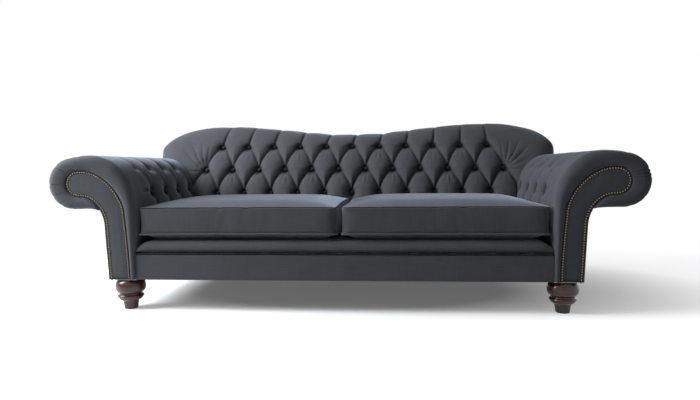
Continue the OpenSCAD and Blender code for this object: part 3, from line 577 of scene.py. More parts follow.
def pulled_in(u, v, rows, pitch, above, below, pit_r=0.027, lean=0.0, over_crest=(0.8, 0.55), arches=1.0):
    """Share of the full dent of deep-buttoned cloth at the flat place u, v.

    rows holds each row's height, first button and count. Between two rows the folds are arches that stand on
    the lower buttons and meet under the upper ones, as deep as arches says. above and below say how far the
    straight pleats past the outer rows fade, lean how far those above slant, and over_crest how sharp and how
    wide they are. Gives the dent and the gathers beside the buttons.
    """
    bulge, sharp, valley_w = 1.42, 0.0045, 0.035
    pit = np.zeros(u.shape)
    gather = np.zeros(u.shape)
    for height, start, count in rows:
        dx = u - nearest_button(u, start, pitch, count)
        dz = v - height
        r = np.hypot(dx, dz)
        hole = 0.5 * np.exp(-(r / (0.7 * pit_r)) ** 2.6) + 0.5 * np.exp(-(r / (1.35 * pit_r)) ** 1.4)
        pit = np.maximum(pit, hole * (1 - np.clip(2 * np.abs(dx) / pitch, 0, 1) ** 2) ** 2)
        turn = np.arctan2(dz, dx)
        below_it = np.exp(-((turn + math.pi / 2) / 0.75) ** 2)
        above_it = np.exp(-((turn - math.pi / 2) / 0.5) ** 2)
        ring = np.exp(-((r - 0.042) / 0.02) ** 2)
        number = np.clip(np.round((u - start) / pitch), 0, count - 1)
        seed = number * 1.7 + height * 40
        lively = 0.5 + 0.5 * np.sin(2.4 * number + 9 * height)
        gather += lively * ring * (below_it * np.cos((12 + 3 * lively) * turn + seed + 20 * r)
                                   + 0.4 * above_it * np.cos(11 * turn - seed))
    crease = np.zeros(u.shape)
    valley = np.zeros(u.shape)
    for (low, _, _), (high, start, count) in zip(rows[:-1], rows[1:]):
        inside = (v >= low - 0.03) & (v <= high + 0.02)
        across = np.abs(u - nearest_button(u, start, pitch, count)) / (pitch / 2)
        tall = np.clip((v - low) / (high - low), 0, None)
        g = np.maximum((across ** bulge + tall ** bulge) ** (1 / bulge), 1e-6)
        slope = np.hypot((across / g) ** (bulge - 1) / (pitch / 2), (tall / g) ** (bulge - 1) / (high - low))
        distance = (g - 1) / slope
        edge = np.clip(np.minimum(v - low + 0.03, high + 0.02 - v) / 0.02, 0, 1)
        strength = arches * inside * edge
        crease = np.maximum(crease, strength * fold(distance, sharp, 0.012))
        rounded_off = (1 - np.clip(np.abs(distance) / 0.066, 0, 1) ** 2) ** 2
        valley = np.maximum(valley, strength * rounded_off * np.exp(-np.abs(distance) / valley_w))
    for (height, start, count), sign, fade in ((rows[-1], 1, above), (rows[0], -1, below)):
        beyond = sign * (v - height)
        share = np.clip(beyond / 0.012, 0, 1) * np.clip(1 - beyond / fade, 0, 1) ** 0.6
        upright_u = u - lean * np.clip(beyond, 0, None) * (sign > 0)
        distance = upright_u - nearest_button(upright_u, start, pitch, count)
        throat = np.exp(-np.clip(beyond, 0, None) / 0.034) * np.exp(-np.abs(distance) / 0.013)
        pit = np.maximum(pit, 0.62 * throat * (beyond > 0))
        crease = np.maximum(crease, share * fold(distance, sharp, 0.009) * over_crest[0])
        rounded_off = (1 - np.clip(2 * np.abs(distance) / pitch, 0, 1) ** 2) ** 2
        valley = np.maximum(valley, share * rounded_off * np.exp(-np.abs(distance) / 0.03) * over_crest[1])
    return 1 - (1 - pit) * (1 - 0.34 * crease) * (1 - 0.29 * valley), gather


def line_fold(u, v, a, b, near, far):
    """Share of a straight fold from the flat place a to b, which fades at its far end."""
    run = np.subtract(b, a)
    length = float(np.hypot(*run))
    run = run / length
    t = ((u - a[0]) * run[0] + (v - a[1]) * run[1]) / length
    off = (u - a[0]) * -run[1] + (v - a[1]) * run[0]
    return fold(off, near, far) * np.clip(t / 0.1, 0, 1) * np.clip((1 - t) / 0.4, 0, 1)


arm_in, arm_crest_h, arm_out = 0.835, 0.641, 1.2
scroll_r, flare_h = 0.106, 0.4
crest = np.array([arm_in + 0.19, arm_crest_h])
scroll = np.array([arm_out - scroll_r, arm_crest_h - 0.009 - scroll_r])
head_r = 0.055
head = np.array([scroll[0] - 0.028, arm_crest_h - 0.062 - head_r])
stem_in, stem_w = arm_in + 0.022, 0.089
board_top = head + np.array([-0.018, head_r])
neck = np.array([stem_in + stem_w + 0.011, 0.345])
neck_top = head + np.array([-0.006, -head_r])
frame_foot, rail_top = 0.13, 0.236


def quarter(a, b, power, turn):
    """Places on the quarter curve that leaves a upright and reaches b level, by the turn in degrees."""
    turn = np.radians(np.asarray(turn, float))
    return np.stack([b[0] - (b[0] - a[0]) * np.cos(turn) ** (2 / power),
                     a[1] + (b[1] - a[1]) * np.sin(turn) ** (2 / power)], -1)


def stem_edge(z):
    z = np.asarray(z, float)
    share = np.maximum(z - frame_foot, 0) / (flare_h - frame_foot)
    return np.stack([stem_in + 0.018 * share ** 1.5, z], -1)


def board_edge():
    """The front board's outline, from its inner foot over the scroll's head to its outer foot."""
    turns = np.radians(np.linspace(90, -90, 26))
    return np.concatenate([
        stem_edge(np.linspace(frame_foot, flare_h, 16)),
        quarter(stem_edge(flare_h), board_top, 1.7, np.linspace(0, 90, 26)[1:]),
        head + head_r * np.stack([np.cos(turns), np.sin(turns)], -1),
        quarter(neck, neck_top, 2, np.linspace(90, 0, 16)[1:]),
        [[stem_in + stem_w, frame_foot]]])


def shifted(line, d):
    """A line moved to its left by d."""
    run = np.gradient(line, axis=0)
    run /= np.linalg.norm(run, axis=1)[:, None]
    return line + d * np.stack([-run[:, 1], run[:, 0]], -1)


flare_turns = np.linspace(0, 90, 78)
fall = np.linspace(0, 1, 22)[1:]
join = scroll + scroll_r * np.array([math.cos(math.radians(78)), math.sin(math.radians(78))])
roll_turns = np.radians(np.linspace(78, -90, 150))[1:]
tail_steps = np.linspace(0, 1, 25)[1:, None]
under_neck = quarter(neck, neck_top, 2, 90 - 52 * tail_steps[:, 0])
from_neck = np.array([neck_top[0], neck[1]]) - under_neck
from_neck /= np.linalg.norm(from_neck, axis=1)[:, None]
tail = under_neck[-1] + 0.0075 * from_neck[-1]
pad_over = np.concatenate([
    quarter((arm_in, flare_h), crest, 2.2, flare_turns),
    np.stack([crest[0] + (join[0] - crest[0]) * fall, crest[1] + (join[1] - crest[1]) * fall ** 2], -1),
    scroll + scroll_r * np.stack([np.cos(roll_turns), np.sin(roll_turns)], -1),
    (scroll + (0, -scroll_r)) * (1 - tail_steps) ** 2 + tail * tail_steps ** 2
    + 2 * tail_steps * (1 - tail_steps) * (tail + (0.045, 0.006))])
head_turns = np.radians(np.linspace(90, -90, 150))[1:]
pad_under = np.concatenate([
    quarter(stem_edge(flare_h), board_top, 1.7, flare_turns),
    board_top * (1 - fall[:, None]) + (head + (0, head_r)) * fall[:, None],
    head + head_r * np.stack([np.cos(head_turns), np.sin(head_turns)], -1),
    under_neck + 0.0055 * tail_steps * from_neck])
foot_count = 26
upright = np.linspace(0, 1, foot_count)
scroll_from = len(flare_turns) + len(fall)
measure = np.concatenate([[0], np.cumsum(np.linalg.norm(np.diff(pad_over, axis=0), axis=1))])
button_turns = (22.5, 52)
v_low, v_high = (np.interp(turn, flare_turns, measure[:len(flare_turns)]) for turn in button_turns)
first_low_y, first_high_y, arm_row_count = -0.265, -0.3415, 4
arm_rows = ((v_low, first_low_y, arm_row_count), (v_high, first_high_y, arm_row_count))
arm_pitch, arm_pit_depth = 0.153, 0.031

back_edge_y, front_edge_y, board_face_y, pad_rear_y = -0.474, -0.51, -0.4945, 0.485
lip_turns = np.radians(np.linspace(0, 180, 25))
lip_w = 0.5 * (1 - np.cos(lip_turns))
lip_y = np.where(lip_turns < math.pi / 2, back_edge_y, board_face_y)
lip_y = lip_y - (lip_y - front_edge_y) * np.sin(lip_turns) ** 0.75
depth_ys = np.concatenate([np.linspace(pad_rear_y - 0.012, 0.27, 9),
                           np.linspace(0.26, back_edge_y, 160)[:-1]])
rear_w = np.array([1.0, 0.6, 0.3, 0.12, 0.03])
rear_y = pad_rear_y - np.array([0, 0, 0, 0.001, 0.005])
inner_ys = np.linspace(board_face_y + 0.004, pad_rear_y - 0.03, 6)
ring_y = np.concatenate([rear_y, depth_ys, lip_y, inner_ys])
ring_w = np.concatenate([rear_w, np.zeros(len(depth_ys)), lip_w * 0.985, np.ones(6)])


pleat_depth = 0.0046
scroll_pleats = {  # direction from the scroll's middle in degrees, and strength
    "left": ((98, 0.8), (42, 1.0), (-4, 1.0), (-33, 0.9), (-60, 0.7), (-84, 0.8)),
    "right": ((82, 0.6), (24, 0.9), (15, 1.0), (6, 0.7), (-40, 0.4), (-76, 0.6))}


def pressed_share(share):
    """How much painted shade a fold of that depth share gets. Only the deeper part of a dent is painted dark,
    as shade.
    """
    return 0.94 * np.clip((share - 0.32) / 0.46, 0, 1) ** 1.15


def arm_tufts(v):
    """Dent of the buttoned cloth along the arm's depth, at that measure up and over it, and the painted shade
    in its deeper folds.
    """
    share, gather = pulled_in(ring_y, v, arm_rows, arm_pitch, above=0.42, below=0.2, pit_r=0.0195,
                              over_crest=(0.5, 0.16), arches=0.15)
    past = ring_y - nearest_button(ring_y, first_low_y, arm_pitch, arm_row_count)
    teardrop = np.hypot(np.where(past < 0, 0.42 * past, past), (v - v_low + 0.01) * 0.5)
    share = np.maximum(share, 0.92 * np.exp(-(teardrop / 0.0165) ** 1.7))
    ahead_of_first = np.clip((ring_y + 0.36) / 0.05, 0, 1) * (v > v_low + 0.012) + (v <= v_low + 0.012)
    button = (first_low_y, v_low)
    first = line_fold(ring_y, v, button, (-0.318, v_low + 0.8 * (v_high - v_low)), near=0.011, far=0.004)
    forward = line_fold(ring_y, v, button, (-0.405, v_low - 0.012), near=0.004, far=0.01)
    share = np.maximum(share * ahead_of_first, 0.45 * np.maximum(first, forward))
    down = np.clip(1 - (v_low - v) / 0.16, 0, 1) ** 0.5 * fold(past - 0.12 * (v_low - v), 0.004, 0.008)
    up = np.clip(1 - (v - v_low) / 0.11, 0, 1) * fold(past + 0.3 * (v - v_low), 0.009, 0.004)
    share = np.maximum(share, 0.56 * np.where(v < v_low, down, up))
    buttoned = np.clip((ring_y + 0.43) / 0.05, 0, 1) * np.clip((0.33 - ring_y) / 0.04, 0, 1)
    buttoned = buttoned * (ring_w < 0.01)
    return arm_pit_depth * buttoned * share + 0.0009 * buttoned * gather, pressed_share(share * buttoned)


def padded_arm(side, sign, seed):
    """One arm's pad, in rings along the arm from its inner foot over the scroll to under its neck."""
    rings, deep = [], []
    fade_from, fade_over = scroll_from - 16, 30
    near_front = np.exp(-np.clip(ring_y + 0.485, 0, None) / 0.035)
    round_front = near_front * np.sin(np.clip(1.15 - ring_w, 0, 1) * math.pi / 2)
    for k in range(1 - foot_count, len(pad_over)):
        if k < 0:
            foot = np.where(ring_y < board_face_y + 0.002, frame_foot + 0.001, rail_top + 0.009)
            z = foot + (flare_h - foot) * upright[k + foot_count - 1]
            over = np.stack([np.full(len(z), arm_in), z], -1)
            under = stem_edge(z)
            v = z - flare_h
        else:
            over = np.repeat(pad_over[k][None], len(ring_y), 0)
            under = np.repeat(pad_under[k][None], len(ring_y), 0)
            v = np.full(len(ring_y), measure[k])
        inward = under - over
        thick = np.linalg.norm(inward, axis=1)
        inward /= thick[:, None]
        dent, shade_paint = arm_tufts(v)
        if k > fade_from:
            remains = max(0.0, 1 - (k - fade_from) / fade_over)
            dent, shade_paint = dent * remains, shade_paint * remains
            turned_by = math.degrees(math.atan2(*(pad_over[k] - scroll)[::-1]))
            for place, hard in scroll_pleats[side]:
                off = math.radians(turned_by - place) * scroll_r
                line = hard * round_front * float(fold(np.array(off), 0.0018, 0.005)) * (ring_y < -0.35)
                dent = dent + pleat_depth * line
                # Painted shade in the deeper scroll pleats.
                shade_paint = np.maximum(shade_paint, 0.95 * np.clip(1.4 * line - 0.3, 0, 1))
        w = ring_w * thick
        place = over + inward * (w + np.minimum(dent, thick - w - 0.001).clip(0))[:, None]
        rings.append(np.stack([sign * place[:, 0], ring_y, place[:, 1]], -1))
        deep.append(shade_paint)
    rings = np.array(rings)
    soft = uneven(rings, 0.07, 0.0016, seed) + uneven(rings, 0.2, 0.0022, seed + 5)
    show = (ring_w < 0.9)[None, :]
    rings[..., 1] += np.where((ring_w > 0.1)[None, :] & show & (ring_y < 0)[None, :], np.abs(soft) * 0.8, 0)
    centre = np.array([sign * 1.02, 0, 0.5])
    outward = rings - centre
    outward[..., 1] = 0
    outward /= np.linalg.norm(outward, axis=2)[..., None]
    rings -= outward * np.abs(soft)[..., None] * show[..., None]
    pad = covered("arm_pad_cover_" + side, rings, "arm_pad_" + side, 70, deep)


padded_arm("left", -1, 2.3)
padded_arm("right", 1, 8.9)


# Facings of the arms, front and back
# A thin card padded with felt and covered with the cloth, cut to the scroll's outline and tacked to the
# board. The cloth is drawn tight over its edge, and swells a little inside the line of the nails.

def resampled(line, count):
    """The line again, with that many points at equal steps."""
    line = np.asarray(line, float)
    along = np.concatenate([[0], np.cumsum(np.linalg.norm(np.diff(line, axis=0), axis=1))])
    even = np.linspace(0, along[-1], count)
    return np.stack([np.interp(even, along, line[:, k]) for k in range(line.shape[1])], -1)


def reach_from(points, line):
    """How far each flat point lies from a closed line."""
    a, b = line, np.roll(line, -1, 0)
    ab = b - a
    t = np.clip(((points[:, None] - a) * ab).sum(-1) / (ab ** 2).sum(-1), 0, 1)
    return np.linalg.norm(points[:, None] - (a + ab * t[..., None]), axis=2).min(1)


scroll_outline = board_edge()
tip_at = int(np.argmax(scroll_outline[:, 0]))
nail_inset = 0.008


def covered_board(name, node, sign, face_y, outward, thick, swell):
    """The covered card in the scroll's outline, from its face at face_y to thick behind it."""
    across = 0.5 - 0.5 * np.cos(np.linspace(0, math.pi, 30))
    near, far = resampled(scroll_outline[:tip_at + 1], 90), resampled(scroll_outline[tip_at:][::-1], 90)
    flat = near[:, None] * (1 - across)[None, :, None] + far[:, None] * across[None, :, None]
    reach = reach_from(flat.reshape(-1, 2), scroll_outline).reshape(flat.shape[:2])
    rise = -0.0024 * np.clip(1 - reach / 0.0035, 0, 1) ** 2
    inside = np.clip((reach - nail_inset) / 0.026, 0, 1)
    nailed = np.exp(-((reach - nail_inset) / 0.003) ** 2)
    rise += swell * (3 * inside ** 2 - 2 * inside ** 3) - 0.0005 * nailed
    grid = np.stack([sign * flat[..., 0], np.zeros(flat.shape[:2]), flat[..., 1]], -1)
    rise += uneven(grid, 0.05, 0.0004, 4.4)
    grid[..., 1] = face_y + outward * rise
    under = grid[:, ::-1][:, (0, -1)].copy()
    under[..., 1] = face_y - outward * thick
    # Painted shade: a dark channel just inside the line of the nails.
    deep = 0.62 * np.exp(-((reach - nail_inset + 0.0015) / 0.0045) ** 2)
    deep = np.concatenate([deep, np.zeros((len(deep), 2))], 1)
    covered(name, np.concatenate([grid, under], 1), node, 60, deep, flat=(0, 2))


for side, sign in (("left", -1), ("right", 1)):
    low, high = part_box("facing_" + side)
    covered_board("arm_facing_" + side, "facing_" + side, sign, low.y, -1, high.y - low.y, swell=0.0022)
    low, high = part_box("rear_facing_" + side)
    covered_board("arm_back_facing_" + side, "rear_facing_" + side, sign, high.y, 1, high.y - low.y,
                  swell=0.0012)


# Antique nails
# Domed steel nails with an antique brass wash, driven head to head round each facing. Their tops show the
# bright brass, and their rims are painted nearly black as shade.

antique = Finish("antique_brass", Metallic=1.0, Roughness=0.36)
wear = antique.cloud(antique.place(), 420.0, 3.0)
rubbed = antique.node("Attribute", {"attribute_name": "rubbed"}, out="Fac")
bright = (rubbed * (wear * 0.6 + 0.7)).clipped()
antique.feed("Base Color", antique.shaded(bright, 0.15, (0.012, 0.010, 0.007), 0.85, (0.22, 0.185, 0.125)))
antique.feed("Roughness", wear * 0.25 + 0.3)
antique.feed("Normal", antique.raised(wear, 0.0004, 0.35))


def along_line(line, step):
    """Places at equal steps of about that length, with the line's run there."""
    total = np.linalg.norm(np.diff(line, axis=0), axis=1).sum()
    return resampled(line, int(round(total / step)) + 1)


nail_r, nail_h, nail_step = 0.0044, 0.0024, 0.0103
dome = [(nail_r * math.sin(math.radians(a)), nail_h * math.cos(math.radians(a))) for a in (90, 68, 44, 20)]
for side, sign in (("left", -1), ("right", 1)):
    low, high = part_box("nails_" + side)
    places = along_line(shifted(scroll_outline, -nail_inset), nail_step)
    turns = np.arange(8) * math.pi / 4
    verts, faces = [], []
    for x, z in places:
        base = len(verts)
        for r, h in dome:
            verts += [(sign * x + r * math.cos(a), high.y - h, z + r * math.sin(a)) for a in turns]
        verts.append((sign * x, high.y - nail_h, z))
        for k in range(3):
            for i in range(8):
                a, b = base + 8 * k + i, base + 8 * k + (i + 1) % 8
                faces.append((a, b, b + 8, a + 8))
        faces += [(base + 24 + i, base + 24 + (i + 1) % 8, base + 32) for i in range(8)]
        faces.append(tuple(base + i for i in range(7, -1, -1)))
    mesh = bpy.data.meshes.new("nail_heads_" + side)
    mesh.from_pydata(verts, [], faces)
    # Painted shade: the rims are darkened nearly to black and only the tops keep the brass colour.
    marked(mesh, "rubbed", np.tile([0.0] * 8 + [0.03] * 8 + [0.3] * 8 + [1.0] * 9, len(places)))
    heads = placed("nail_heads_" + side, mesh)
    face_outwards(heads)
    finish_piece(heads, "frame", antique, ["nails_" + side], 60)


# Outside arms and outside back
# Cloth over card, drawn flat down the outside of each arm from under the scroll, and over the whole back.
# Its edges are turned in and blind-stitched.

down_neck = np.concatenate([quarter(neck, neck_top, 2, np.linspace(45, 0, 14)),
                            resampled([neck, (stem_in + stem_w, frame_foot)], 24)[1:]])
for side, sign in (("left", -1), ("right", 1)):
    low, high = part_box("outside_arm_" + side)
    depths = np.linspace(low.y, high.y, 110)
    edge_y = np.array([low.y + 0.003, low.y + 0.0008, low.y] + list(depths[1:-1])
                      + [high.y, high.y - 0.0008, high.y - 0.003])
    proud = np.array([0.0004, 0.001, 0.0032] + [0.0043] * (len(depths) - 2) + [0.0032, 0.001, 0.0004])
    lines = np.stack([shifted(down_neck, d) for d in proud], 1)
    rows = np.stack([sign * lines[..., 0], np.tile(edge_y, (len(lines), 1)), lines[..., 1]], -1)
    ripple = uneven(rows * np.array([1, 0.5, 1]), 0.12, 0.001, 6.6)
    rows[:, 3:-3, 0] += sign * np.minimum(ripple[:, 3:-3], 0) * 0.6
    covered("outside_arm_cover_" + side, rows, "outside_arm_" + side, 50, flat=(1, 2))

low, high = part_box("outside_back")
heights = np.linspace(low.z, high.z, 60)
edge_line = np.concatenate([stem_edge(np.linspace(frame_foot, flare_h, 16)),
                            quarter(stem_edge(flare_h), board_top, 1.7, np.linspace(0, 90, 40)[1:])])
half_at = np.interp(heights, edge_line[:, 1], edge_line[:, 0]) - 0.001
half_at[heights > board_top[1]] = board_top[0] - 0.001
across = np.concatenate([[-1], np.linspace(-0.9985, 0.9985, 120), [1]])
rows = []
for z, half in zip(heights, half_at):
    face = [(half * s, high.y - (0.0022 if abs(s) == 1 else 0), z) for s in across]
    rows.append(face + [(half, low.y, z), (-half, low.y, z)])
rows = np.array(rows)
ripple = uneven(rows * np.array([0.5, 1, 1]), 0.16, 0.0012, 1.9)
rows[:, 1:-3, 1] += np.minimum(ripple[:, 1:-3], 0)
covered("outside_back_cover", rows, "outside_back", 50, flat=(0, 2))


# Padded back
# One deep pad of horsehair and felt on the webbing, under one cover. It leans back, rolls over the humped top
# rail and is tacked behind it. Twine pulls three rows of buttons into it. Straight pleats run over the top,
# and the spare cloth at both ends falls in soft folds.

back_pitch, back_pit_depth = 0.1428, 0.049
row_low, row_mid, row_top = 0.449, 0.571, 0.693
back_rows = ((row_low, -5 * back_pitch, 11), (row_mid, -5.5 * back_pitch, 12), (row_top, -5 * back_pitch, 11))
face_h, face_y, back_lean = 0.44, 0.19, 0.115
crest_y, rear_y, web_back_y, hook_h = 0.445, 0.51, 0.4853, 0.66
end_x, hump_x, middle_y, seat_h = 1.0748, 0.7, 0.42, 0.3


def top_line(x):
    """The back's double-humped top, at that distance from its middle."""
    u = np.clip((x - hump_x) / 0.375, 0, 1)
    return np.where(x <= hump_x, 0.766 + 0.05 * (1 - np.cos(math.pi * x / hump_x)) / 2,
                    0.64 + 0.176 * (1 - u ** 2.4) ** (1 / 2.4))


def lean_at(z):
    t = np.maximum(z - face_h, 0) / (row_top - face_h)
    return face_y + back_lean * (0.43 * t + 0.57 * t * t)


def bend(a, b, c, t):
    """From a to c by t, drawn towards b."""
    return (1 - t) ** 2 * a + 2 * t * (1 - t) * b + t ** 2 * c


def webbing_y(z):
    return 0.27 + 0.4 * (z - seat_h) - 0.0026


over_arm = pad_over[:scroll_from]
half_xs = np.unique(np.round(np.concatenate([
    np.linspace(0, 0.832, 209), np.linspace(0.8345, 0.86, 14), np.linspace(0.86, 1.04, 46),
    end_x - 0.035 * np.linspace(1, 0, 16) ** 1.8]), 5))
columns = np.concatenate([-half_xs[:0:-1], half_xs])
low_share = np.linspace(0, (0.425 - seat_h) / (row_top - seat_h), 9)[:-1]
face_share = np.concatenate([low_share, np.linspace(low_share[-1] + 0.036, 1, 68)])
over_t, behind_t = np.linspace(0, 1, 27)[1:], np.linspace(0, 1, 15)[1:]
rings = []
for x in columns:
    ax = abs(x)
    top = float(top_line(ax))
    foot = seat_h
    if ax >= 0.834:
        foot = float(np.interp(ax - 0.0005, over_arm[:, 0], over_arm[:, 1])) - 0.0022
    top = max(top, foot + 0.004)
    turn_z = foot + min(row_top - foot, 0.75 * (top - foot) if ax > 0.834 else row_top)
    turn_y = float(lean_at(turn_z))
    hook = max(min(hook_h, top - 0.02) - 0.006 * (ax > 0.79), foot + 0.1 * (top - foot))
    cap = top - 0.055 if ax < 1.0 else foot + 0.008
    cap = min(max(cap, foot + 0.2 * (top - foot)), top - 0.3 * (top - foot) if ax > 1 else top - 0.012)
    face_z = seat_h + (turn_z - seat_h) * face_share
    face_z = np.maximum(face_z, foot + 0.0001 * np.arange(len(face_share)))
    z = np.concatenate([face_z, bend(turn_z, top, top, over_t), bend(top, top, hook, behind_t)])
    over_y = bend(turn_y, turn_y + 0.7 * (top - turn_z), crest_y, over_t)
    y = np.concatenate([lean_at(face_z), over_y, bend(crest_y, rear_y, rear_y, behind_t)])
    inner_z = np.array([hook, cap, cap, foot])
    inner_y = np.array([web_back_y, web_back_y, webbing_y(cap), webbing_y(foot)])
    u = max(ax - 0.93, 0) / (end_x - 0.93)
    thin = 0.1 + 0.9 * math.sqrt(max(1 - u ** 2.2, 0))
    y, inner_y = (middle_y + (line - middle_y) * thin for line in (y, inner_y))
    rings.append(np.stack([np.full(len(z) + 4, x), np.concatenate([y, inner_y]),
                           np.concatenate([z, inner_z])], -1))
rings = np.array(rings)
shown = len(face_share) + len(over_t) + len(behind_t)
run = np.gradient(rings[:, :shown], axis=1)[..., 1:]
run /= np.linalg.norm(run, axis=2)[..., None]
into = np.stack([run[..., 1], -run[..., 0]], -1)
straight = np.clip((np.arange(shown) - len(face_share)) / 10, 0, 1)[None, :, None]
into = into * straight + np.array([1.0, 0.0]) * (1 - straight)
into /= np.linalg.norm(into, axis=2)[..., None]
u = np.repeat(columns[:, None], shown, 1)
v = rings[:, :shown, 2].copy()
beyond = np.cumsum(np.linalg.norm(np.diff(rings[:, :shown, 1:], axis=1), axis=2), axis=1)
beyond -= beyond[:, len(face_share) - 2][:, None]
v[:, len(face_share):] = row_top + beyond[:, len(face_share) - 1:]
slant = np.interp(u, (-0.8, 0.2, 0.6, 0.72), (0.15, 0.12, 0.08, -0.05))
share, gather = pulled_in(u, v, back_rows, back_pitch, above=0.2, below=0.16, lean=slant)
end_folds = (  # direction in degrees, reach in metres, and strength
    (86, 0.15, 0.7), (68, 0.17, 1.0), (50, 0.19, 0.9), (33, 0.2, 1.0), (15, 0.17, 0.8), (-6, 0.13, 0.7))
pits = np.clip((0.9 - np.abs(u)) / 0.05, 0, 1)
dent = back_pit_depth * share * pits + 0.0024 * gather * pits
for end in (-1, 1):
    dx, dz = end * u - 5.5 * back_pitch, v - row_mid
    r, turn = np.hypot(dx, dz), np.degrees(np.arctan2(dz, dx))
    for place, reach, hard in end_folds:
        off = np.radians(turn - place - 40 * r) * r
        grow = np.clip((r - 0.02) / 0.03, 0, 1) * np.clip(1 - r / reach, 0, 1) ** 0.7
        dent += 0.0125 * hard * grow * fold(off, 0.004, 0.009)
dent *= np.clip(1 - (np.abs(u) - 0.9) / 0.15, 0, 1)
rings[:, :shown, 1:] += into * dent[..., None]
soft = uneven(rings[:, :shown], 0.09, 0.0022, 5.2) + uneven(rings[:, :shown], 0.24, 0.003, 9.4)
rings[:, :shown, 1:] += into * np.abs(soft)[..., None] * np.clip((1.06 - np.abs(u)) / 0.1, 0, 1)[..., None]
# Painted shade in the deeper pits and folds of the back.
deep = np.zeros(rings.shape[:2])
deep[:, :shown] = pressed_share(share * pits)
back = covered("back_cover", rings, "back_pad", 80, deep)


# Covered buttons
# Metal moulds covered with the sofa's cloth, each pulled down by twine to the bottom of its dimple. Their
# cloth is gathered under the rim.

button_r, button_h = 0.0105, 0.0062
button_shape = [(0.0, 0.0), (button_r * 0.9, 0.0), (button_r, 0.0011), (button_r * 0.985, 0.0022),
                (button_r * 0.9, 0.0037), (button_r * 0.7, 0.0051), (button_r * 0.4, 0.006), (0.0, button_h)]


def button_group(name, node, places):
    """Covered buttons, each at its place and facing its way, joined as one piece."""
    made = []
    for k, (place, facing) in enumerate(places):
        button = turned(name + str(k), button_shape, (0, 0), 20)
        lay_flat(button, 0, 1)
        turn = facing.to_track_quat("Z", "Y").to_matrix().to_4x4()
        button.matrix_world = Matrix.Translation(place) @ turn
        made.append(button)
    bpy.ops.object.select_all(action="DESELECT")
    for button in made:
        button.select_set(True)
    bpy.context.view_layer.objects.active = made[0]
    bpy.ops.object.join()
    bpy.ops.object.transform_apply(location=True, rotation=True, scale=True)
    group = bpy.context.view_layer.objects.active
    group.name = name
    # Painted shade: the buttons' cloth is darkened, standing in for the shadow at the bottom of their
    # dimples.
    marked(group.data, "fold_depth", [0.72] * len(group.data.vertices))
    finish_piece(group, "frame", cloth, [node], 50)


back_places = []
for (height, start, count), lean, lift in zip(back_rows, (12, 27, 34), (0.227, 0.2, 0.196)):
    facing = Vector((0, -math.cos(math.radians(lean)), math.sin(math.radians(lean))))
    for k in range(count):
        pit = Vector((start + k * back_pitch, float(lean_at(height)) + back_pit_depth - 0.001, height))
        back_places.append((pit + facing * (lift * back_pit_depth - 0.002), facing))
button_group("back_button_set", "back_buttons", back_places)
for side, sign in (("left", -1), ("right", 1)):
    places = []
    for (_, start, count), turn in zip(arm_rows, button_turns):
        over = quarter((arm_in, flare_h), crest, 2.2, turn)
        under = quarter(stem_edge(flare_h), board_top, 1.7, turn)
        into = (under - over) / np.linalg.norm(under - over)
        for k in range(count):
            pit = over + into * (arm_pit_depth - 0.0065)
            places.append((Vector((sign * pit[0], start + k * arm_pitch, pit[1])),
                           Vector((-sign * into[0], 0, -into[1]))))
    button_group("arm_button_set_" + side, "arm_buttons_" + side, places)


# Seat cushions
# Boxed cushions: a top, a border and an underside sewn round a foam core wrapped in fibre, with a flat seam
# above and a piped one below. The filling swells the cloth between its seams.

cushion_low, cushion_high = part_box("seat_cushion_right")
half_w, half_d = (cushion_high.x - cushion_low.x) / 2, (cushion_high.y - cushion_low.y) / 2
corner_r, piping_z, seam_z = 0.022, 0.317, 0.424
counts = (100, 84, 14)
seam_inset, groove_w, groove_d = 0.0035, 0.0026, 0.0052


def rounded(p, w, d, r):
    """Draws the corners of a rectangular layout round."""
    cx = np.clip(p[..., 0], -w + r, w - r)
    cy = np.clip(p[..., 1], -d + r, d - r)
    dx, dy = p[..., 0] - cx, p[..., 1] - cy
    far = np.maximum(np.hypot(dx, dy), 1e-9)
    pull = np.where((dx != 0) & (dy != 0), np.maximum(abs(dx), abs(dy)) / far, 1.0)
    return np.stack([cx + dx * pull, cy + dy * pull], -1)


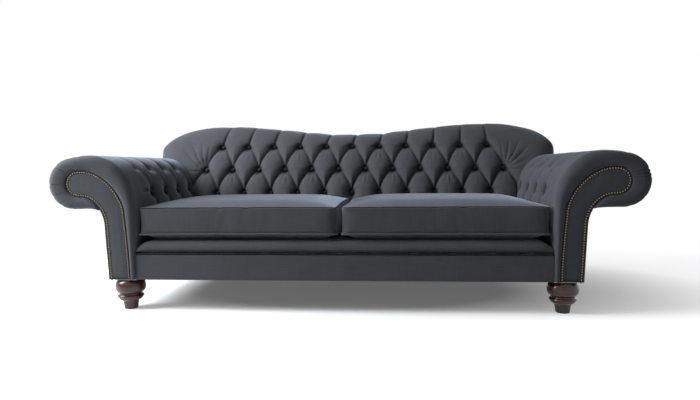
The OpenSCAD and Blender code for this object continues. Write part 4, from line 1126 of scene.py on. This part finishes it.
def boxed_cushion(name):
    """The cushion's cover before it is filled: two panels and a border, sewn edge to edge."""
    nx, ny, nz = counts
    gx, gy = np.meshgrid(np.linspace(-1, 1, nx + 1), np.linspace(-1, 1, ny + 1), indexing="ij")
    verts, faces, uvs = [], [], []

    def crown(x, y):
        return seam_z + 0.021 * ((1 - x ** 2) * (1 - y ** 2)) ** 0.42

    def belly(x, y):
        inwards = min(1.0, 6 * (1 - x ** 2) * (1 - y ** 2)) ** 0.5
        return piping_z - (piping_z - cushion_low.z) * inwards

    def panel(z_of, flip, shift):
        w, d = half_w - seam_inset, half_d - seam_inset
        flat = rounded(np.stack([gx * w, gy * d], -1), w, d, corner_r)
        start = len(verts)
        for i in range(nx + 1):
            for j in range(ny + 1):
                x, y = flat[i, j]
                verts.append((x, y, z_of(gx[i, j], gy[i, j])))
        for i in range(nx):
            for j in range(ny):
                corners = ((i, j), (i + 1, j), (i + 1, j + 1), (i, j + 1))
                q = [start + a * (ny + 1) + b for a, b in corners]
                if flip:
                    q.reverse()
                faces.append(tuple(q))
                uvs.extend([(verts[k][0] + shift, verts[k][1]) for k in q])
        rim = [(i, 0) for i in range(nx)] + [(nx, j) for j in range(ny)]
        rim += [(i, ny) for i in range(nx, 0, -1)] + [(0, j) for j in range(ny, 0, -1)]
        return [start + a * (ny + 1) + b for a, b in rim]

    above = panel(crown, False, 0.0)
    below = panel(belly, True, 2.0)
    rim = len(above)
    layers = [below]
    for k in range(1, nz):
        t = k / nz
        ring = []
        for a, b in zip(below, above):
            p, q = Vector(verts[a]), Vector(verts[b])
            mid = p.lerp(q, t)
            ring.append(len(verts))
            verts.append((mid.x * (1 - 0.004), mid.y * (1 - 0.005), mid.z))
        layers.append(ring)
    layers.append(above)
    around = [0.0]
    for k in range(rim):
        around.append(around[-1] + (Vector(verts[above[(k + 1) % rim]]) - Vector(verts[above[k]])).length)
    for low_ring, high_ring in zip(layers[:-1], layers[1:]):
        for k in range(rim):
            n = (k + 1) % rim
            q = (low_ring[k], low_ring[n], high_ring[n], high_ring[k])
            faces.append(q)
            uvs += [(around[at], verts[corner][2] + 3) for at, corner in zip((k, k + 1, k + 1, k), q)]
    mesh = bpy.data.meshes.new(name)
    mesh.from_pydata(verts, [], faces)
    mesh.uv_layers.new(name="measure").data.foreach_set("uv", np.array(uvs, np.float32).ravel())
    return placed(name, mesh), above, below


def place_vertices(piece, places):
    piece.data.vertices.foreach_set("co", places.astype(np.float32).ravel())
    piece.data.update()


def filled(piece, held, pressure, cap, floor, ceiling, room):
    """Swells the cover with air pressure, eases the creases of the filling, and keeps it inside its room."""
    before = vertex_places(piece)
    group = piece.vertex_groups.new(name="seams")
    group.add(held, 0.35, "REPLACE")
    cover = piece.modifiers.new("filling", "CLOTH")
    cover.settings.quality = 6
    cover.settings.mass = 0.3
    cover.settings.tension_stiffness = 25
    cover.settings.compression_stiffness = 25
    cover.settings.shear_stiffness = 8
    cover.settings.bending_stiffness = 0.6
    cover.settings.use_pressure = True
    cover.settings.uniform_pressure_force = pressure
    cover.settings.effector_weights.gravity = 0
    cover.settings.vertex_group_mass = "seams"
    cover.settings.pin_stiffness = 1.0
    cover.point_cache.frame_start, cover.point_cache.frame_end = 1, 20
    for step in range(1, 21):
        bpy.context.scene.frame_set(step)
    select_only(piece)
    bpy.ops.object.modifier_apply(modifier="filling")
    bpy.context.scene.frame_set(1)
    after = vertex_places(piece)
    moved = after - before
    far = np.linalg.norm(moved, axis=1)
    place_vertices(piece, before + moved * np.minimum(1, cap / np.maximum(far, 1e-9))[:, None])
    raw = vertex_places(piece)
    loose = np.ones(len(raw), bool)
    loose[held] = False

    def ease():
        bpy.ops.mesh.select_all(action="DESELECT")
        shape = bmesh.from_edit_mesh(piece.data)
        for vertex in shape.verts:
            vertex.select_set(bool(loose[vertex.index]))
        bpy.ops.mesh.vertices_smooth(factor=0.5, repeat=36)

    edited(piece, ease)
    after = 0.9 * vertex_places(piece) + 0.1 * raw
    crown_at = after[:, 2] > seam_z
    squeeze = min(1.0, (ceiling - seam_z) / (after[crown_at, 2].max() - seam_z))
    after[crown_at, 2] = seam_z + (after[crown_at, 2] - seam_z) * squeeze
    after[:, 2] = np.maximum(after[:, 2], floor)
    after[:, 0] = np.clip(after[:, 0], -room[0], room[0])
    after[:, 1] = np.clip(after[:, 1], -room[1], room[1])
    place_vertices(piece, after)


cover, top_seam, low_seam = boxed_cushion("cushion_cover_right")
filled(cover, top_seam + low_seam, pressure=4.0, cap=0.026, floor=cushion_low.z + 0.0003,
       ceiling=cushion_high.z - 0.0005, room=(half_w + 0.0012, half_d + 0.0015))
eased = vertex_places(cover)
for _ in range(6):
    line = eased[low_seam]
    eased[low_seam] = line / 2 + (np.roll(line, 1, 0) + np.roll(line, -1, 0)) / 4
place_vertices(cover, eased)
piping_line = eased[low_seam]
sewn = {tuple(sorted((top_seam[k - 1], top_seam[k]))) for k in range(len(top_seam))}
for edge in cover.data.edges:
    edge.use_seam = tuple(sorted(edge.vertices)) in sewn
rounding = cover.modifiers.new("rounded", "SUBSURF")
rounding.levels = rounding.render_levels = 1
select_only(cover)
bpy.ops.object.modifier_apply(modifier="rounded")


def sewn_groove():
    """Opens the top seam to a narrow fold, pulls its stitched line in, and paints shade into the seam and
    onto the belly under the piping.
    """
    bpy.ops.mesh.select_mode(type="EDGE")
    bpy.ops.mesh.select_all(action="DESELECT")
    shape = bmesh.from_edit_mesh(cover.data)
    for edge in shape.edges:
        edge.select_set(edge.seam)
    bpy.ops.mesh.bevel(offset=groove_w, segments=2, profile=0.5, affect="EDGES")
    shape = bmesh.from_edit_mesh(cover.data)
    shade_paint = shape.verts.layers.float.new("fold_depth")
    stitched = [vertex for vertex in shape.verts if all(face.select for face in vertex.link_faces)]
    for vertex in stitched:
        sides = (-vertex.co.x / half_w, -vertex.co.y / half_d)
        inward = Vector([side if abs(side) > 0.93 else 0 for side in sides] + [-0.35])
        vertex.co += inward.normalized() * groove_d
        # Painted shade in the stitched groove.
        vertex[shade_paint] = 0.85
    for vertex in shape.verts:
        # Painted shade on the belly below the piping, where the cushion's overhang shades it.
        if vertex.co.z < piping_z - 0.007:
            vertex[shade_paint] = 0.5
    bmesh.update_edit_mesh(cover.data)


edited(cover, sewn_groove)

core_foam = Finish("cut_foam", Roughness=0.95)
cells = core_foam.cloud(core_foam.place(), 700.0, 3.0)
core_foam.feed("Base Color", core_foam.shaded(cells, 0.3, (0.62, 0.56, 0.36), 0.7, (0.8, 0.75, 0.55)))
core_foam.feed("Normal", core_foam.raised(cells, 0.0008, 0.5))
zip_tape = Finish("zip_tape", Roughness=0.6)
teeth = woven(zip_tape, zip_tape.place(), 0.0016)
zip_tape.feed("Base Color", zip_tape.shaded(teeth, 0.2, (0.012, 0.012, 0.014), 0.8, (0.05, 0.05, 0.055)))
zip_tape.feed("Normal", zip_tape.raised(teeth, 0.0006, 0.7))

left_cover = placed("cushion_cover_left", cover.data.copy())
for side, sign, piece in (("left", -1, left_cover), ("right", 1, cover)):
    low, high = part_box("seat_cushion_" + side)
    middle = (low + high) / 2
    place_vertices(piece, vertex_places(piece) * (sign, 1, 1) + (middle.x, middle.y, 0))
    face_outwards(piece)
    finish_piece(piece, "cushion_" + side, cloth, ["seat_cushion_" + side], 60)
    lines = piping_line * np.array([sign, 1, 1])
    lines[:, 0] = np.clip(lines[:, 0] * 1.004, -half_w + 0.005, half_w - 0.005)
    lines[:, 1] = np.clip(lines[:, 1] * 1.01, -half_d - 0.001, half_d - 0.002)
    lines += np.array([middle.x, middle.y, 0])
    cord = covered_cord("cushion_piping_" + side, lines, 0.004, closed=True)
    finish_piece(cord, "cushion_" + side, cloth, (), 60)
    dress("cushion_core_" + side, core_foam)
    dress("cushion_zip_" + side, zip_tape)


# Floor, backdrop and light
# A plain white studio: the floor runs into a white backdrop and keeps the sofa's soft shadow, which a painted
# glow on the floor, weak near the sofa and stronger away from it, fades out. A large cool window of light
# stands at the front left, a dimmer one is overhead, and a weak warm one is at the right.

bpy.context.scene.view_settings.view_transform = "Standard"
bpy.ops.object.select_all(action="DESELECT")
bpy.ops.mesh.primitive_plane_add(size=60, location=(0, 0, 0))
floor = bpy.context.object
floor.name = "studio_floor"
paper = Finish("studio_paper")
paper.tree.nodes.clear()
seen = paper.maths("MAXIMUM", paper.node("LightPath", out="Is Camera Ray"),
                   paper.node("LightPath", out="Is Glossy Ray"))
from_sofa = paper.stretched(paper.place(), (0.75, 1.3, 1.0))
away = paper.node("VectorMath", {"operation": "LENGTH"}, out="Value", i0=from_sofa)
far_off = paper.node("MapRange", Value=away, From_Min=1.25, From_Max=2.3)
# Painted light: the floor glows for the camera and in reflections, weakly near the sofa and more away from
# it, fading its shadow.
painted_floor_glow = paper.node("MapRange", Value=away, From_Min=0.55, From_Max=1.35, To_Min=0.12, To_Max=0.72)
matt = paper.node("BsdfDiffuse", Color=(0.8, 0.8, 0.8, 1))
unlit = paper.node("Emission", Strength=0.0)
glow = paper.node("MixShader", i0=seen, i1=unlit, i2=paper.node("Emission", Strength=painted_floor_glow))
lit_floor = paper.node("AddShader", i0=matt, i1=glow)
ending = paper.node("MixShader", i0=far_off * seen, i1=lit_floor, i2=paper.node("Emission"))
out = paper.tree.nodes.new("ShaderNodeOutputMaterial")
paper.tree.links.new(ending.socket, out.inputs[0])
floor.data.materials.append(paper.material)

world = bpy.data.worlds.new("studio")
bpy.context.scene.world = world
world.use_nodes = True
sky = world.node_tree.nodes["Background"]
sky.inputs["Color"].default_value = (1, 1, 1, 1)
rays = world.node_tree.nodes.new("ShaderNodeLightPath")
level = world.node_tree.nodes.new("ShaderNodeMath")
level.operation = "MULTIPLY_ADD"
seen = world.node_tree.nodes.new("ShaderNodeMath")
seen.operation = "MAXIMUM"
world.node_tree.links.new(rays.outputs["Is Camera Ray"], seen.inputs[0])
world.node_tree.links.new(rays.outputs["Is Glossy Ray"], seen.inputs[1])
world.node_tree.links.new(seen.outputs[0], level.inputs[0])
level.inputs[1].default_value = 0.9
level.inputs[2].default_value = 0.1
world.node_tree.links.new(level.outputs[0], sky.inputs["Strength"])


def softbox(name, place, target, size, power, colour):
    """A rectangular lamp that faces the target."""
    lamp = bpy.data.lights.new(name, "AREA")
    lamp.shape = "RECTANGLE"
    lamp.size, lamp.size_y = size
    lamp.energy = power
    lamp.color = colour
    holder = placed(name, lamp)
    holder.location = place
    holder.rotation_euler = (Vector(target) - Vector(place)).to_track_quat("-Z", "Y").to_euler()


softbox("window_left", (-2.5, -0.85, 1.8), (0, 0, 0.5), (1.6, 1.6), 172, (0.92, 0.97, 1.0))
softbox("overhead", (-0.5, -0.5, 3.2), (0, 0, 0.4), (3.0, 2.0), 23, (1, 1, 1))
softbox("fill_right", (2.6, -3.0, 1.4), (0, 0, 0.4), (1.6, 1.6), 2.5, (1.0, 0.9, 0.8))
